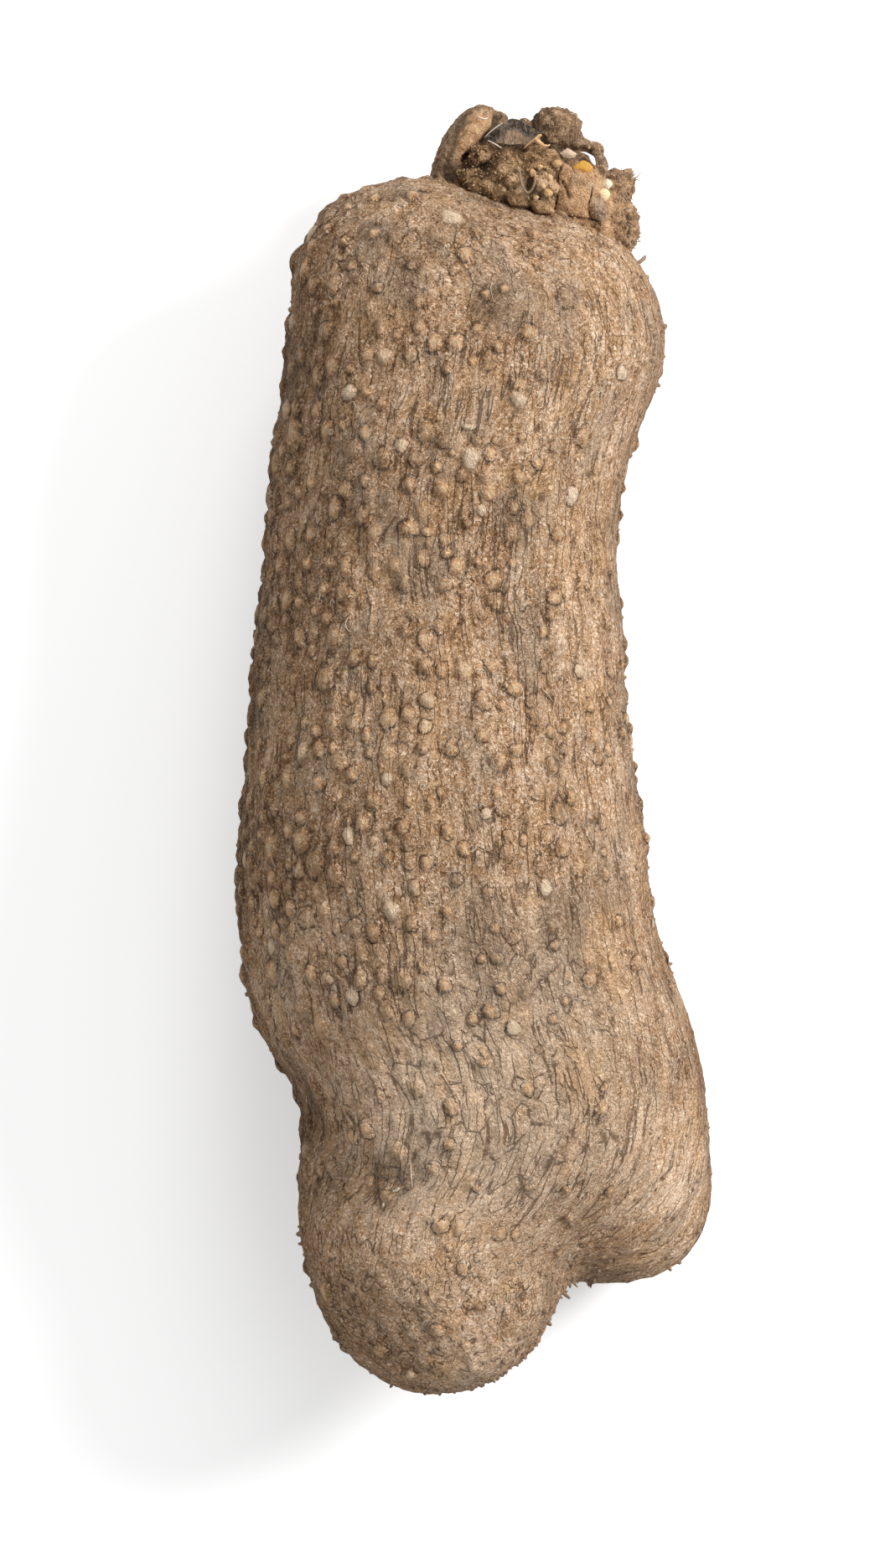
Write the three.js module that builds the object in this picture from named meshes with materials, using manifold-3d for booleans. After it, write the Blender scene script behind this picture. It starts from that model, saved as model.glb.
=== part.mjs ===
// A whole yam, lying on its side: the tuber, the woody crown that last season's stems grew from,
// and what the field left in the crown: a cake of dried soil, stones, a papery scale and dry roots.
//
// Millimetres, +Z up. The tuber's long axis runs along Y with the crown at +Y, and it rests on z = 0.
import * as THREE from "three";
import { mergeVertices } from "three/addons/utils/BufferGeometryUtils.js";
import Module from "manifold-3d";

const wasm = await Module();
wasm.setup();

// ---------------------------------------------------------------- driving dimensions

const CLEARANCE = 0.35; // gap between pieces that touch
const FLATNESS = 0.88; // depth of the tuber over its width
const CREASE = 11; // how far round a crease between two limbs fills in
const BED = 400; // side of the block that stands for the surface under the tuber

// The tuber is a few limbs that grew into each other. Each is a run of stations along the limb:
// across (x), along (y), height of the centre (z), and radius.
const LIMBS = {
  trunk: [
    [-4, 98, 39, 46],
    [-6.5, 80, 38.5, 46],
    [-9, 52, 38.5, 46.5],
    [-9.5, 24, 40, 48.5],
    [-9.5, -4, 42, 51],
    [-8.5, -30, 43.5, 53.3],
    [-6, -50, 44.5, 53],
    [5, -80, 42, 49],
  ],
  left_shoulder: [
    [-9, 78, 46, 37],
    [-17, 103, 50, 27.5],
    [-18.5, 121.8, 44, 29.5],
  ],
  right_shoulder: [
    [5, 102, 38, 38],
    [17.5, 110.5, 37, 32.5],
  ],
  left_cheek: [
    [-25, -42, 42, 33],
    [-33, -60, 40, 27],
  ],
  left_corner: [
    [-14, -46, 54, 33],
    [-18.5, -70, 58, 28],
    [-10.5, -92, 58, 28],
  ],
  heel: [
    [13, -84, 40, 42],
    [25, -99, 34, 36],
    [33, -112, 28, 30],
    [41, -121, 23, 22.4],
  ],
  toe: [
    [-6, -92, 38, 32],
    [-13.3, -112, 42, 33],
    [-12.3, -126, 45, 33.6],
    [-10.3, -137, 44, 32.8],
  ],
};
const BALLS_PER_STATION = 6;

// The line inside the tuber that its skin is measured out from.
const PITH = [
  [-1.5, 106, 38],
  [-7, 70, 38],
  [-9.5, 20, 40],
  [-7, -40, 42],
  [-1, -92, 38],
  [2, -119, 35],
];
const SKIN_AROUND = 42; // facets round the tuber
const SKIN_ALONG = 34; // facets along its straight part
const SKIN_ENDS = 11; // facets from there to each end
const SKIN_STRIDE = 2; // step of the search for the skin
const SKIN_HALVINGS = 14; // halvings of the last step

// The crown: knobs of the old stem base, grown together. Centre, radii, and lean about Z in degrees.
const KNOBS = [
  { name: "root plate", at: [15, 139, 31], radii: [22, 13, 17], lean: -12 },
  { name: "left horn", at: [-1.8, 156.2, 34], radii: [8.7, 14.8, 11], lean: -20 },
  { name: "heart", at: [9, 153, 34], radii: [11, 11, 12], lean: 0 },
  { name: "round bud", at: [21.9, 164.4, 32], radii: [6.2, 6, 6.4], lean: 0 },
  { name: "bud neck", at: [20.5, 157, 31], radii: [6, 7, 7], lean: 10 },
  { name: "right brow", at: [29.4, 154.4, 33], radii: [6.3, 8, 9], lean: 24 },
  { name: "right face", at: [27, 145.5, 37], radii: [9.5, 10.5, 12.5], lean: 20 },
  { name: "grey lump", at: [32.4, 143, 44], radii: [2.6, 4.2, 4.5], lean: 10 },
  { name: "upper ear", at: [38.6, 150.6, 32], radii: [4.4, 4.4, 5.5], lean: 0 },
  { name: "ear tip", at: [41.4, 152.6, 32.5], radii: [1.5, 2.2, 1.6], lean: -30 },
  { name: "lower ear", at: [37.3, 140.5, 33], radii: [6.8, 9, 9], lean: 12 },
  { name: "stem scar", at: [33.6, 136, 42], radii: [4.4, 3.4, 4.5], lean: -20 },
  { name: "left back knob", at: [6, 150, 20], radii: [10, 12, 9], lean: 15 },
  { name: "right back knob", at: [27, 150, 19], radii: [10, 11, 9], lean: -10 },
  { name: "small bud", at: [0.9, 157.2, 44.4], radii: [2.4, 2.5, 2.6], lean: 0 },
  { name: "left stub", at: [6.8, 167, 35], radii: [1.7, 3, 2], lean: 8 },
  { name: "middle stub", at: [12.4, 165.6, 36], radii: [2, 2.8, 2.2], lean: -25 },
  { name: "bud thorn", at: [27.6, 163.9, 33], radii: [2, 1, 1.2], lean: -25 },
];
const BIG_KNOB = 8; // a knob at least this wide has finer facets
const BIG_DETAIL = 3;
const SMALL_DETAIL = 2;
const KNOB_ROUGHNESS = 0.07;

// Dried soil between the knobs, as lumps that stuck together: centre and radius.
const SOIL_LUMPS = [
  [-1, 149.5, 43.6, 4.6],
  [3.5, 147.5, 44.6, 6],
  [7.5, 151.5, 46.6, 6.2],
  [11.5, 147, 46.6, 6.4],
  [14, 153, 46.6, 5.6],
  [16.7, 149, 47.1, 5.2],
  [18.2, 155.8, 44.1, 4.6],
  [20.6, 152.8, 45.4, 3.6],
  [17.6, 145.6, 46.6, 3.9],
];
const SOIL_DETAIL = 2;
const SOIL_ROUGHNESS = 0.12;

// A crumb of the same soil that lies by itself at the foot of the cake.
const CRUMB = { at: [17.3, 142.6, 49.4], radii: [3.8, 2.3, 3], lean: -15 };

// Stones in the soil and on the crown: centre, radii, lean, colour.
const STONES = {
  amber_stone: { at: [27.9, 153.8, 43], radii: [2.8, 1.9, 1.5], lean: -18, colour: 0xb9771b },
  cream_stone_round: { at: [33.3, 146.4, 45], radii: [1.5, 1.4, 1.1], lean: 0, colour: 0xe3cf9a },
  cream_stone_chip: { at: [34.5, 149.6, 42.4], radii: [1.6, 1.1, 1], lean: 35, colour: 0xe8dcc0 },
  grey_stone: { at: [23, 157.6, 42.6], radii: [2.3, 1.6, 1.5], lean: 30, colour: 0xa08a70 },
  grit_stone_1: { at: [16.5, 153.2, 51.8], radii: [1.5, 1.1, 1.1], lean: -20, colour: 0xc9a06c },
  grit_stone_2: { at: [14.6, 151.6, 52.6], radii: [1.1, 1.5, 1.1], lean: 10, colour: 0xd2a970 },
  grit_stone_3: { at: [21.1, 154.4, 49], radii: [1.9, 1.4, 1.3], lean: 15, colour: 0xba9560 },
  grit_stone_4: { at: [19, 150.4, 51.8], radii: [1.5, 1.3, 1.1], lean: 0, colour: 0xd8b486 },
  grit_stone_5: { at: [17.3, 148.1, 53], radii: [1.2, 1, 1], lean: 0, colour: 0xc8a87c },
  grit_stone_6: { at: [18.7, 146.6, 51.8], radii: [2, 1.5, 1.3], lean: -35, colour: 0xc79c66 },
  grit_stone_7: { at: [15.6, 145.2, 51.6], radii: [1.1, 0.9, 0.9], lean: 20, colour: 0xbfa27c },
  grit_stone_8: { at: [11, 152.6, 52.4], radii: [1.3, 1, 0.9], lean: 40, colour: 0x9c7b56 },
  grit_stone_9: { at: [7.2, 147.2, 51.8], radii: [1.2, 1, 0.9], lean: -15, colour: 0xa58561 },
};
const STONE_DETAIL = 1;
const STONE_ROUGHNESS = 0.1;

// Two flakes: the papery scale leaf left on the heart, and a chalky flake beside the amber stone.
const FLAKES = {
  papery_scale: { at: [11.5, 162.4, 43], radii: [7.8, 4, 0.9], lean: -14, colour: 0x5f5348 },
  chalky_flake: { at: [31.8, 156, 41.6], radii: [1.1, 2.2, 0.8], lean: 35, colour: 0xe9e9ea },
};

// Dry roots and plant fibres, each a round strand through the points given.
const STRANDS = {
  forked_twig: {
    points: [[11.4, 158.2, 47.8], [14.6, 160.4, 48.6], [16.8, 161.8, 48.2]],
    radius: 0.42,
    colour: 0xc0925a,
  },
  twig_fork: {
    points: [[15.8, 160, 48.8], [17.4, 158.6, 49.4], [19.4, 158.6, 49.2]],
    radius: 0.36,
    colour: 0xc0925a,
  },
  root_loop: {
    points: [
      [12.3, 152.4, 54.2],
      [12.4, 148.6, 54.5],
      [13.6, 145, 54.5],
      [15.8, 146.8, 54.8],
      [16.2, 150.6, 54.6],
    ],
    radius: 0.4,
    colour: 0x8a6b4d,
  },
  white_fibre: {
    points: [[3, 161.4, 48.2], [5, 160.4, 49.2], [7, 159.2, 49.4]],
    radius: 0.24,
    colour: 0xe6dccb,
  },
  pale_fibre: {
    points: [[2.6, 162, 46.9], [4.6, 164, 47.2], [7.8, 165.4, 46]],
    radius: 0.22,
    colour: 0xb5a48c,
  },
  crown_root: {
    points: [[41, 131, 38], [42.4, 130.8, 39], [43.8, 130.8, 39.4], [44.8, 132, 39]],
    radius: 0.6,
    colour: 0x6f5843,
  },
};
const STRAND_SIDES = 6;
const STRAND_STEPS = 8;

const SKIN_BROWN = 0x9e836a;
const CROWN_BROWN = 0x86694f;
const SOIL_BROWN = 0x7b5e43;

// ---------------------------------------------------------------- solids and their surfaces

const point = ([x, y, z]) => new THREE.Vector3(x, y, z);

function solidOf(geometry) {
  const bare = geometry.clone();
  bare.deleteAttribute("normal");
  bare.deleteAttribute("uv");
  const merged = mergeVertices(bare);
  const triVerts = new Uint32Array(merged.index.array);
  const vertProperties = merged.getAttribute("position").array;
  return new wasm.Manifold(new wasm.Mesh({ numProp: 3, vertProperties, triVerts }));
}

function geometryOf(solid) {
  const mesh = solid.getMesh();
  const geometry = new THREE.BufferGeometry();
  geometry.setAttribute("position", new THREE.BufferAttribute(mesh.vertProperties, 3));
  geometry.setIndex(new THREE.BufferAttribute(mesh.triVerts, 1));
  geometry.computeVertexNormals();
  return geometry;
}

// The biggest of a solid's separate bodies: a cut can leave crumbs behind.
const largest = (solid) => solid.decompose().sort((a, b) => b.volume() - a.volume())[0];

const joined = (geometries) => geometries.map(solidOf).reduce((all, next) => all.add(next));

const group = new THREE.Group();

function place(name, solid, colour, roughness = 0.9) {
  const material = new THREE.MeshStandardMaterial({ color: colour, roughness, metalness: 0 });
  const mesh = new THREE.Mesh(geometryOf(largest(solid)), material);
  mesh.name = name;
  group.add(mesh);
}

// ---------------------------------------------------------------- tuber

// A limb's distance function: the least distance to a ball that swells and shrinks along its curve.
function limbDistance(stations) {
  const path = new THREE.CatmullRomCurve3(stations.map(point));
  const swell = new THREE.CatmullRomCurve3(stations.map((s, i) => new THREE.Vector3(i, s[3], 0)));
  const last = BALLS_PER_STATION * (stations.length - 1);
  const balls = [];
  for (let i = 0; i <= last; i++) {
    balls.push({ centre: path.getPoint(i / last), radius: swell.getPoint(i / last).y });
  }
  const away = new THREE.Vector3();
  return (p) => {
    let least = Infinity;
    for (const { centre, radius } of balls) {
      away.subVectors(p, centre);
      away.z /= FLATNESS;
      least = Math.min(least, away.length() - radius);
    }
    return least;
  };
}

// Joins two distances with a rounded crease.
function grownTogether(a, b) {
  const overlap = Math.max(CREASE - Math.abs(a - b), 0) / CREASE;
  return Math.min(a, b) - (overlap * overlap * CREASE) / 4;
}

const limbDistances = Object.values(LIMBS).map(limbDistance);
const tuberDistance = (p) => limbDistances.map((distance) => distance(p)).reduce(grownTogether);

// How far the skin lies from a point inside, in a given direction.
function reach(origin, direction, offset) {
  const at = (length) => tuberDistance(origin.clone().addScaledVector(direction, length)) - offset;
  let outside = SKIN_STRIDE;
  while (at(outside) < 0) outside += SKIN_STRIDE;
  let inside = outside - SKIN_STRIDE;
  for (let i = 0; i < SKIN_HALVINGS; i++) {
    const middle = (inside + outside) / 2;
    if (at(middle) < 0) inside = middle;
    else outside = middle;
  }
  return outside;
}

// The skin is a capsule whose every vertex is pushed out from the pith until it meets the tuber's
// surface, offset by a clearance where something else has to stay clear of it.
function tuberSkin(offset = 0) {
  const skin = new THREE.CapsuleGeometry(1, SKIN_ALONG, SKIN_ENDS, SKIN_AROUND, SKIN_ALONG);
  const pith = new THREE.CatmullRomCurve3(PITH.map(point));
  const places = skin.getAttribute("position");
  const vertex = new THREE.Vector3();
  for (let i = 0; i < places.count; i++) {
    vertex.fromBufferAttribute(places, i);
    const along = THREE.MathUtils.clamp(vertex.y, -SKIN_ALONG / 2, SKIN_ALONG / 2);
    const origin = pith.getPoint(0.5 - along / SKIN_ALONG);
    const direction = new THREE.Vector3(vertex.x, vertex.y - along, vertex.z).normalize();
    vertex.copy(origin).addScaledVector(direction, reach(origin, direction, offset));
    places.setXYZ(i, vertex.x, vertex.y, vertex.z);
  }
  return skin;
}

// The surface that the tuber lies on presses a flat into its underside.
const bed = solidOf(new THREE.BoxGeometry(BED, BED, BED).translate(0, 0, -BED / 2));
place("tuber", solidOf(tuberSkin()).subtract(bed), SKIN_BROWN);

// Room that is taken, with a clearance, so that what is placed next stays clear of it.
let taken = solidOf(tuberSkin(CLEARANCE));

// ---------------------------------------------------------------- crown

// A rough ball: an icosahedron swollen to its radii, uneven by a share of its size.
function lump({ at, radii, lean = 0 }, detail, roughness, grow = 0) {
  const ball = new THREE.IcosahedronGeometry(1, detail);
  const places = ball.getAttribute("position");
  const vertex = new THREE.Vector3();
  const phase = at[0] + at[1] + at[2];
  for (let i = 0; i < places.count; i++) {
    vertex.fromBufferAttribute(places, i);
    const waves = ["x", "y", "z"].map((axis, n) => Math.sin((4 + n) * vertex[axis] + phase * (1 + n)));
    vertex.multiplyScalar(1 + (roughness * (waves[0] + waves[1] + waves[2])) / 3);
    places.setXYZ(i, vertex.x, vertex.y, vertex.z);
  }
  ball.scale(radii[0] + grow, radii[1] + grow, radii[2] + grow);
  ball.rotateZ(THREE.MathUtils.degToRad(lean));
  ball.translate(...at);
  return ball;
}

// The crown sits on the tuber's upper end.
function knobs(grow) {
  const lumps = KNOBS.map((knob) => {
    const detail = knob.radii[0] < BIG_KNOB ? SMALL_DETAIL : BIG_DETAIL;
    return lump(knob, detail, KNOB_ROUGHNESS, grow);
  });
  return joined(lumps);
}
place("crown", knobs(0).subtract(taken), CROWN_BROWN);
taken = taken.add(knobs(CLEARANCE));

// ---------------------------------------------------------------- soil, stones and flakes

// The soil fills the hollows between the knobs.
function soilCake(grow) {
  const lumps = SOIL_LUMPS.map(([x, y, z, radius]) => {
    const shape = { at: [x, y, z], radii: [radius, radius, radius] };
    return lump(shape, SOIL_DETAIL, SOIL_ROUGHNESS, grow);
  });
  return joined(lumps);
}
place("soil_cake", soilCake(0).subtract(taken), SOIL_BROWN, 1);
taken = taken.add(soilCake(CLEARANCE));

// What lies on the soil and the crown is cut to rest on what is under it.
function rest(name, shape, detail, roughness, colour) {
  place(name, solidOf(lump(shape, detail, roughness)).subtract(taken), colour);
  taken = taken.add(solidOf(lump(shape, detail, roughness, CLEARANCE)));
}
rest("soil_crumb", CRUMB, SOIL_DETAIL, SOIL_ROUGHNESS, SOIL_BROWN);
for (const [name, stone] of Object.entries(STONES)) {
  rest(name, stone, STONE_DETAIL, STONE_ROUGHNESS, stone.colour);
}
for (const [name, flake] of Object.entries(FLAKES)) {
  rest(name, flake, STONE_DETAIL, STONE_ROUGHNESS, flake.colour);
}

// ---------------------------------------------------------------- dry roots and fibres

function strand({ points, radius }, grow = 0) {
  const section = new THREE.Shape();
  section.absarc(0, 0, radius + grow, 0, 2 * Math.PI);
  const path = new THREE.CatmullRomCurve3(points.map(point));
  const settings = { extrudePath: path, steps: STRAND_STEPS, curveSegments: STRAND_SIDES / 2 };
  return solidOf(new THREE.ExtrudeGeometry(section, settings));
}

for (const [name, shape] of Object.entries(STRANDS)) {
  place(name, strand(shape).subtract(taken), shape.colour);
  taken = taken.add(strand(shape, CLEARANCE));
}

// The origin goes under the middle of the yam, on the surface that it lies on.
const extent = new THREE.Box3().setFromObject(group);
group.position.set(-(extent.min.x + extent.max.x) / 2, -(extent.min.y + extent.max.y) / 2, 0);

export default group;
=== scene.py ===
# A whole yam lying on its side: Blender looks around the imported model, in metres and in its frame.
import math

import bmesh
import bpy
import numpy as np
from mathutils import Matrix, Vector, noise
from mathutils.bvhtree import BVHTree
from mathutils.interpolate import poly_3d_calc
from mathutils.kdtree import KDTree


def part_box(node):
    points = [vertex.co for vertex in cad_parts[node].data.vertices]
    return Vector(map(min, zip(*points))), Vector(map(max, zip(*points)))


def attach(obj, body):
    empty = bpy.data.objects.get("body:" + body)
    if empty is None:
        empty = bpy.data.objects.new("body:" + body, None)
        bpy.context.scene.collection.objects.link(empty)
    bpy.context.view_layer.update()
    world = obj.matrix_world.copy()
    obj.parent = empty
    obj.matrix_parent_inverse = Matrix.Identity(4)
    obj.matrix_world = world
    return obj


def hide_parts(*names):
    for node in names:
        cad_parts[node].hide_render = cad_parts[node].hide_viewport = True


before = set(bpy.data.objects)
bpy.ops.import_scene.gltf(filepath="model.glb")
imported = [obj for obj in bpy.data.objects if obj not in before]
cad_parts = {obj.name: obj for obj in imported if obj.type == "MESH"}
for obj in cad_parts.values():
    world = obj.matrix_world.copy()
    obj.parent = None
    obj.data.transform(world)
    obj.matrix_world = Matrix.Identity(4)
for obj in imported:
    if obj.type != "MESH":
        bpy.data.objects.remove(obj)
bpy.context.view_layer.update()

MM = 0.001
scene = bpy.context.scene


# ------------------------------------------------------------------ camera, light and floor
# A pale studio table, with the camera straight above it. One big soft lamp stands to the yam's
# right, a little towards its crown, and a weaker one beyond the crown. The white room fills in
# the shadows.

camera_height = 1.344
seen_length = 0.41465  # how much of the table's length the camera sees, halfway up the yam
halfway_up = 0.044
lens = bpy.data.cameras.new("camera")
lens.sensor_width = 36
lens.lens = lens.sensor_width * (camera_height - halfway_up) / seen_length
lens.clip_end = 20
camera = bpy.data.objects.new("camera", lens)
camera.location = (-0.0093, -0.0092, camera_height)
scene.collection.objects.link(camera)
scene.camera = camera
scene.view_settings.view_transform = "Standard"


class Wire:
    """A value on its way from one shader node to the next. Sums on it add Math nodes."""

    def __init__(self, tree, end=None):
        self.tree = tree
        self.end = end

    def node(self, kind, settings, inputs, output=0):
        """Adds a node of any kind: its settings first, then the values or wires of its sockets."""
        made = self.tree.nodes.new(kind)
        for name, value in settings.items():
            if name == "stops":
                while len(made.color_ramp.elements) < len(value):
                    made.color_ramp.elements.new(0.5)
                for element, (place, colour) in zip(made.color_ramp.elements, value):
                    element.position = place
                    element.color = (*colour, 1)
            else:
                setattr(made, name, value)
        for name, value in inputs.items():
            if isinstance(value, Wire):
                self.tree.links.new(value.end, made.inputs[name])
            elif made.inputs[name].type == "RGBA":
                made.inputs[name].default_value = (*value, 1)
            else:
                made.inputs[name].default_value = value
        return Wire(self.tree, made.outputs[output] if made.outputs else None)

    def read(self, name, output="Fac"):
        """A number kept for each vertex, or with "Vector" a vector."""
        return self.node("ShaderNodeAttribute", {"attribute_name": name}, {}, output)

    def math(self, operation, *values):
        return self.node("ShaderNodeMath", {"operation": operation}, dict(enumerate(values)))

    def most(self, other):
        return self.math("MAXIMUM", self, other)

    def __abs__(self):
        return self.math("ABSOLUTE", self)

    def __add__(self, other):
        return self.math("ADD", self, other)

    __radd__ = __add__

    def __mul__(self, other):
        return self.math("MULTIPLY", self, other)

    __rmul__ = __mul__

    def __sub__(self, other):
        return self.math("SUBTRACT", self, other)

    def __rsub__(self, other):
        return self.math("SUBTRACT", other, self)

    def step(self, low, high):
        """0 below low, 1 above high, and a smooth rise between them; a fall if low is above high."""
        rise = {"interpolation_type": "SMOOTHSTEP"}
        ends = {"From Min": low, "From Max": high}
        if low > high:
            ends = {"From Min": high, "From Max": low, "To Min": 1.0, "To Max": 0.0}
        return self.node("ShaderNodeMapRange", rise, {"Value": self, **ends})

    def mix(self, without, over):
        """The colour without where this value is 0, and the colour over where it is 1."""
        settings = {"data_type": "RGBA", "clamp_factor": True}
        return self.node("ShaderNodeMix", settings, {0: self, 6: without, 7: over}, 2)

    def ramp(self, *stops):
        """The colour at this value, between stops of (value, colour)."""
        return self.node("ShaderNodeValToRGB", {"stops": stops}, {"Fac": self})

    def times(self, scale):
        """A vector stretched by a scale for each axis."""
        settings = {"operation": "MULTIPLY"}
        return self.node("ShaderNodeVectorMath", settings, {0: self, 1: scale})

    def plus(self, other):
        return self.node("ShaderNodeVectorMath", {"operation": "ADD"}, {0: self, 1: other})

    def cloud(self, scale, detail=2.0, roughness=0.5, warp=0.0, output=0):
        """Noise: scale is the clouds to a unit of length."""
        values = {"Vector": self, "Scale": scale, "Detail": detail, "Roughness": roughness}
        return self.node("ShaderNodeTexNoise", {}, {**values, "Distortion": warp}, output)

    def cells(self, scale, feature="F1", randomness=1.0, output=0):
        values = {"Vector": self, "Scale": scale, "Randomness": randomness}
        return self.node("ShaderNodeTexVoronoi", {"feature": feature}, values, output)


def new_material(name):
    """An empty material, and the wire that its nodes start from."""
    material = bpy.data.materials.new(name)
    material.use_nodes = True
    material.node_tree.nodes.clear()
    return material, Wire(material.node_tree)


def surface(start, colour, roughness, height=None, depth=1.0, **plain):
    """The material's shader and output. height is a relief in millimetres, felt depth times."""
    inputs = {"Base Color": colour, "Roughness": roughness}
    if height is not None:
        bump = {"Strength": 1.0, "Distance": depth * MM, "Height": height}
        inputs["Normal"] = start.node("ShaderNodeBump", {}, bump)
    inputs.update(plain)
    shader = start.node("ShaderNodeBsdfPrincipled", {}, inputs)
    start.node("ShaderNodeOutputMaterial", {}, {"Surface": shader})


def lamp(name, place, aim, size, power):
    """A round, soft lamp at a place, turned to its aim: size in metres, power in watts."""
    light = bpy.data.lights.new(name, "AREA")
    light.shape = "DISK"
    light.size = size
    light.energy = power
    holder = bpy.data.objects.new(name, light)
    holder.location = place
    holder.rotation_mode = "QUATERNION"
    holder.rotation_quaternion = (Vector(aim) - Vector(place)).to_track_quat("-Z", "Y")
    scene.collection.objects.link(holder)


yam_middle = (0, 0, 0.04)
lamp("key_lamp", (1.1, 0.48, 0.8), yam_middle, 0.5, 20.5)
lamp("top_lamp", (0.1, 1.2, 0.8), yam_middle, 0.6, 8.0)

world = bpy.data.worlds.new("studio")
world.use_nodes = True
world.node_tree.nodes.clear()
air = Wire(world.node_tree)
seen = air.node("ShaderNodeLightPath", {}, {}, "Is Camera Ray")
shone = air.node("ShaderNodeLightPath", {}, {}, "Is Glossy Ray")
room_light = 0.5
strength = room_light + (1 - room_light) * seen.most(shone)
sky = air.node("ShaderNodeBackground", {}, {"Color": (1, 1, 1), "Strength": strength})
air.node("ShaderNodeOutputWorld", {}, {"Surface": sky})
scene.world = world

paper_glow = 0.39  # lifts the table to white where the camera sees it
paper, start = new_material("white_paper")
seen = start.node("ShaderNodeLightPath", {}, {}, "Is Camera Ray")
sheet = start.node("ShaderNodeBsdfDiffuse", {}, {"Color": (0.86, 0.86, 0.86)})
glow = start.node("ShaderNodeEmission", {}, {"Color": (1, 1, 1), "Strength": paper_glow * seen})
lit = start.node("ShaderNodeAddShader", {}, {0: sheet, 1: glow})
start.node("ShaderNodeOutputMaterial", {}, {"Surface": lit})

table_side = 6.0
table = bmesh.new()
bmesh.ops.create_grid(table, x_segments=1, y_segments=1, size=table_side / 2)
table_mesh = bpy.data.meshes.new("floor")
table.to_mesh(table_mesh)
table.free()
floor = bpy.data.objects.new("floor", table_mesh)
floor.data.materials.append(paper)
scene.collection.objects.link(floor)


# ------------------------------------------------------------------ tuber skin
# Corky bark over solid flesh. The tuber swelled lengthwise, so its bark is drawn into fine ridges
# and fissures that run from the crown to the toe and heel lobes.

rng = np.random.default_rng(7)
skin_pitch = 1.1 * MM  # side of a skin facet
pole_depth = 45 * MM  # from each end of the tuber to the end of the pith
columns = 284
upper_share = 0.3  # how much closer the facets lie on the upper side
end_rows = 66
middle_rows = 208
pith_passes = 200  # how often the pith's line is smoothed
skin_passes = 12  # how often the skin is smoothed, each way

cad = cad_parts["tuber"].data
wall = BVHTree.FromPolygons([v.co for v in cad.vertices], [p.vertices for p in cad.polygons])
low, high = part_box("tuber")


def grid_faces(rows, columns):
    """Quads of a tube of rows, each a ring of columns, and a fan of triangles over each end."""
    ring = np.arange(columns)
    after = np.roll(ring, -1)
    faces = []
    for j in range(rows - 1):
        a, b = j * columns, (j + 1) * columns
        faces += np.stack([a + ring, a + after, b + after, b + ring], 1).tolist()
    last = (rows - 1) * columns
    faces += np.stack([np.full(columns, rows * columns), after, ring], 1).tolist()
    faces += np.stack([np.full(columns, rows * columns + 1), last + ring, last + after], 1).tolist()
    return faces


def between_walls(centre, axis):
    """The point halfway between the tuber's walls along a line through centre."""
    ahead = wall.ray_cast(centre, axis)[0]
    behind = wall.ray_cast(centre, -axis)[0]
    return (ahead + behind) / 2


def smoothed(values, passes, axis):
    """Values with their small waves rubbed out along one axis, which closes on itself."""
    for _ in range(passes):
        values = (2 * values + np.roll(values, 1, axis) + np.roll(values, -1, axis)) / 4
    return values


pith = []
centre = (low + high) / 2
for y in np.linspace(high.y - pole_depth, low.y + pole_depth, middle_rows):
    centre.y = y
    for axis in (Vector((1, 0, 0)), Vector((0, 0, 1))):
        centre = between_walls(centre, axis)
    pith.append(centre.copy())
pith = np.array(pith)
spare = 40  # rows added at each end, so that the smoothing can't join the two ends
ends = np.repeat(pith[[0, -1]], spare, axis=0)
padded = np.concatenate([ends[:spare], pith, ends[spare:]])
pith = smoothed(padded, pith_passes, 0)[spare:-spare]

turn = np.linspace(0, 2 * math.pi, 721)  # every half degree
crowding = np.cumsum(1 + upper_share * np.sin(turn))
crowding = (crowding - crowding[0]) / (crowding[-1] - crowding[0])
around = np.interp(np.arange(columns) / columns, crowding, turn)
tilts = np.concatenate(
    [
        np.linspace(math.pi / 2, 0, end_rows + 1)[1:-1],
        np.zeros(middle_rows),
        -np.linspace(0, math.pi / 2, end_rows + 1)[1:-1],
    ]
)
rows = len(tilts)
inside = np.concatenate(
    [np.repeat(pith[:1], end_rows - 1, 0), pith, np.repeat(pith[-1:], end_rows - 1, 0)]
)
directions = np.empty((rows, columns, 3))
directions[..., 0] = np.cos(tilts)[:, None] * np.cos(around)
directions[..., 1] = np.sin(tilts)[:, None]
directions[..., 2] = np.cos(tilts)[:, None] * np.sin(around)
reach = np.empty((rows, columns))
for j in range(rows):
    origin = Vector(inside[j])
    for i in range(columns):
        reach[j, i] = wall.ray_cast(origin, Vector(directions[j, i]))[3]

# Over each pole the rows go on down the other side, so the smoothing goes over it too.
over_pole = np.roll(reach, columns // 2, axis=1)
whole = np.concatenate([reach, over_pole[::-1]])
reach = smoothed(smoothed(whole, skin_passes, 0), skin_passes, 1)[:rows]
places = inside[:, None] + directions * reach[..., None]
poles = np.array([inside[0] + (0, reach[0].mean(), 0), inside[-1] - (0, reach[-1].mean(), 0)])
skin_faces = grid_faces(rows, columns)

# The grain: places on the skin as if the tuber were straight and round, in millimetres.
steps = np.linalg.norm(np.roll(places, -1, axis=1) - places, axis=2)
girth = steps.sum(1)
angle = 2 * math.pi * (np.cumsum(steps, 1) - steps) / girth[:, None]
along = np.linalg.norm(np.diff(places, axis=0), axis=2).mean(1)
along = np.concatenate([[0], np.cumsum(along)])
grain = np.empty_like(places)
grain[..., 0] = girth[:, None] / (2 * math.pi) * np.cos(angle)
grain[..., 1] = along[:, None]
grain[..., 2] = girth[:, None] / (2 * math.pi) * np.sin(angle)
grain_poles = np.array([[0, -skin_pitch, 0], [0, along[-1] + skin_pitch, 0]])

points = np.concatenate([places.reshape(-1, 3), poles])
grain = np.concatenate([grain.reshape(-1, 3), grain_poles]) / MM


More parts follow.
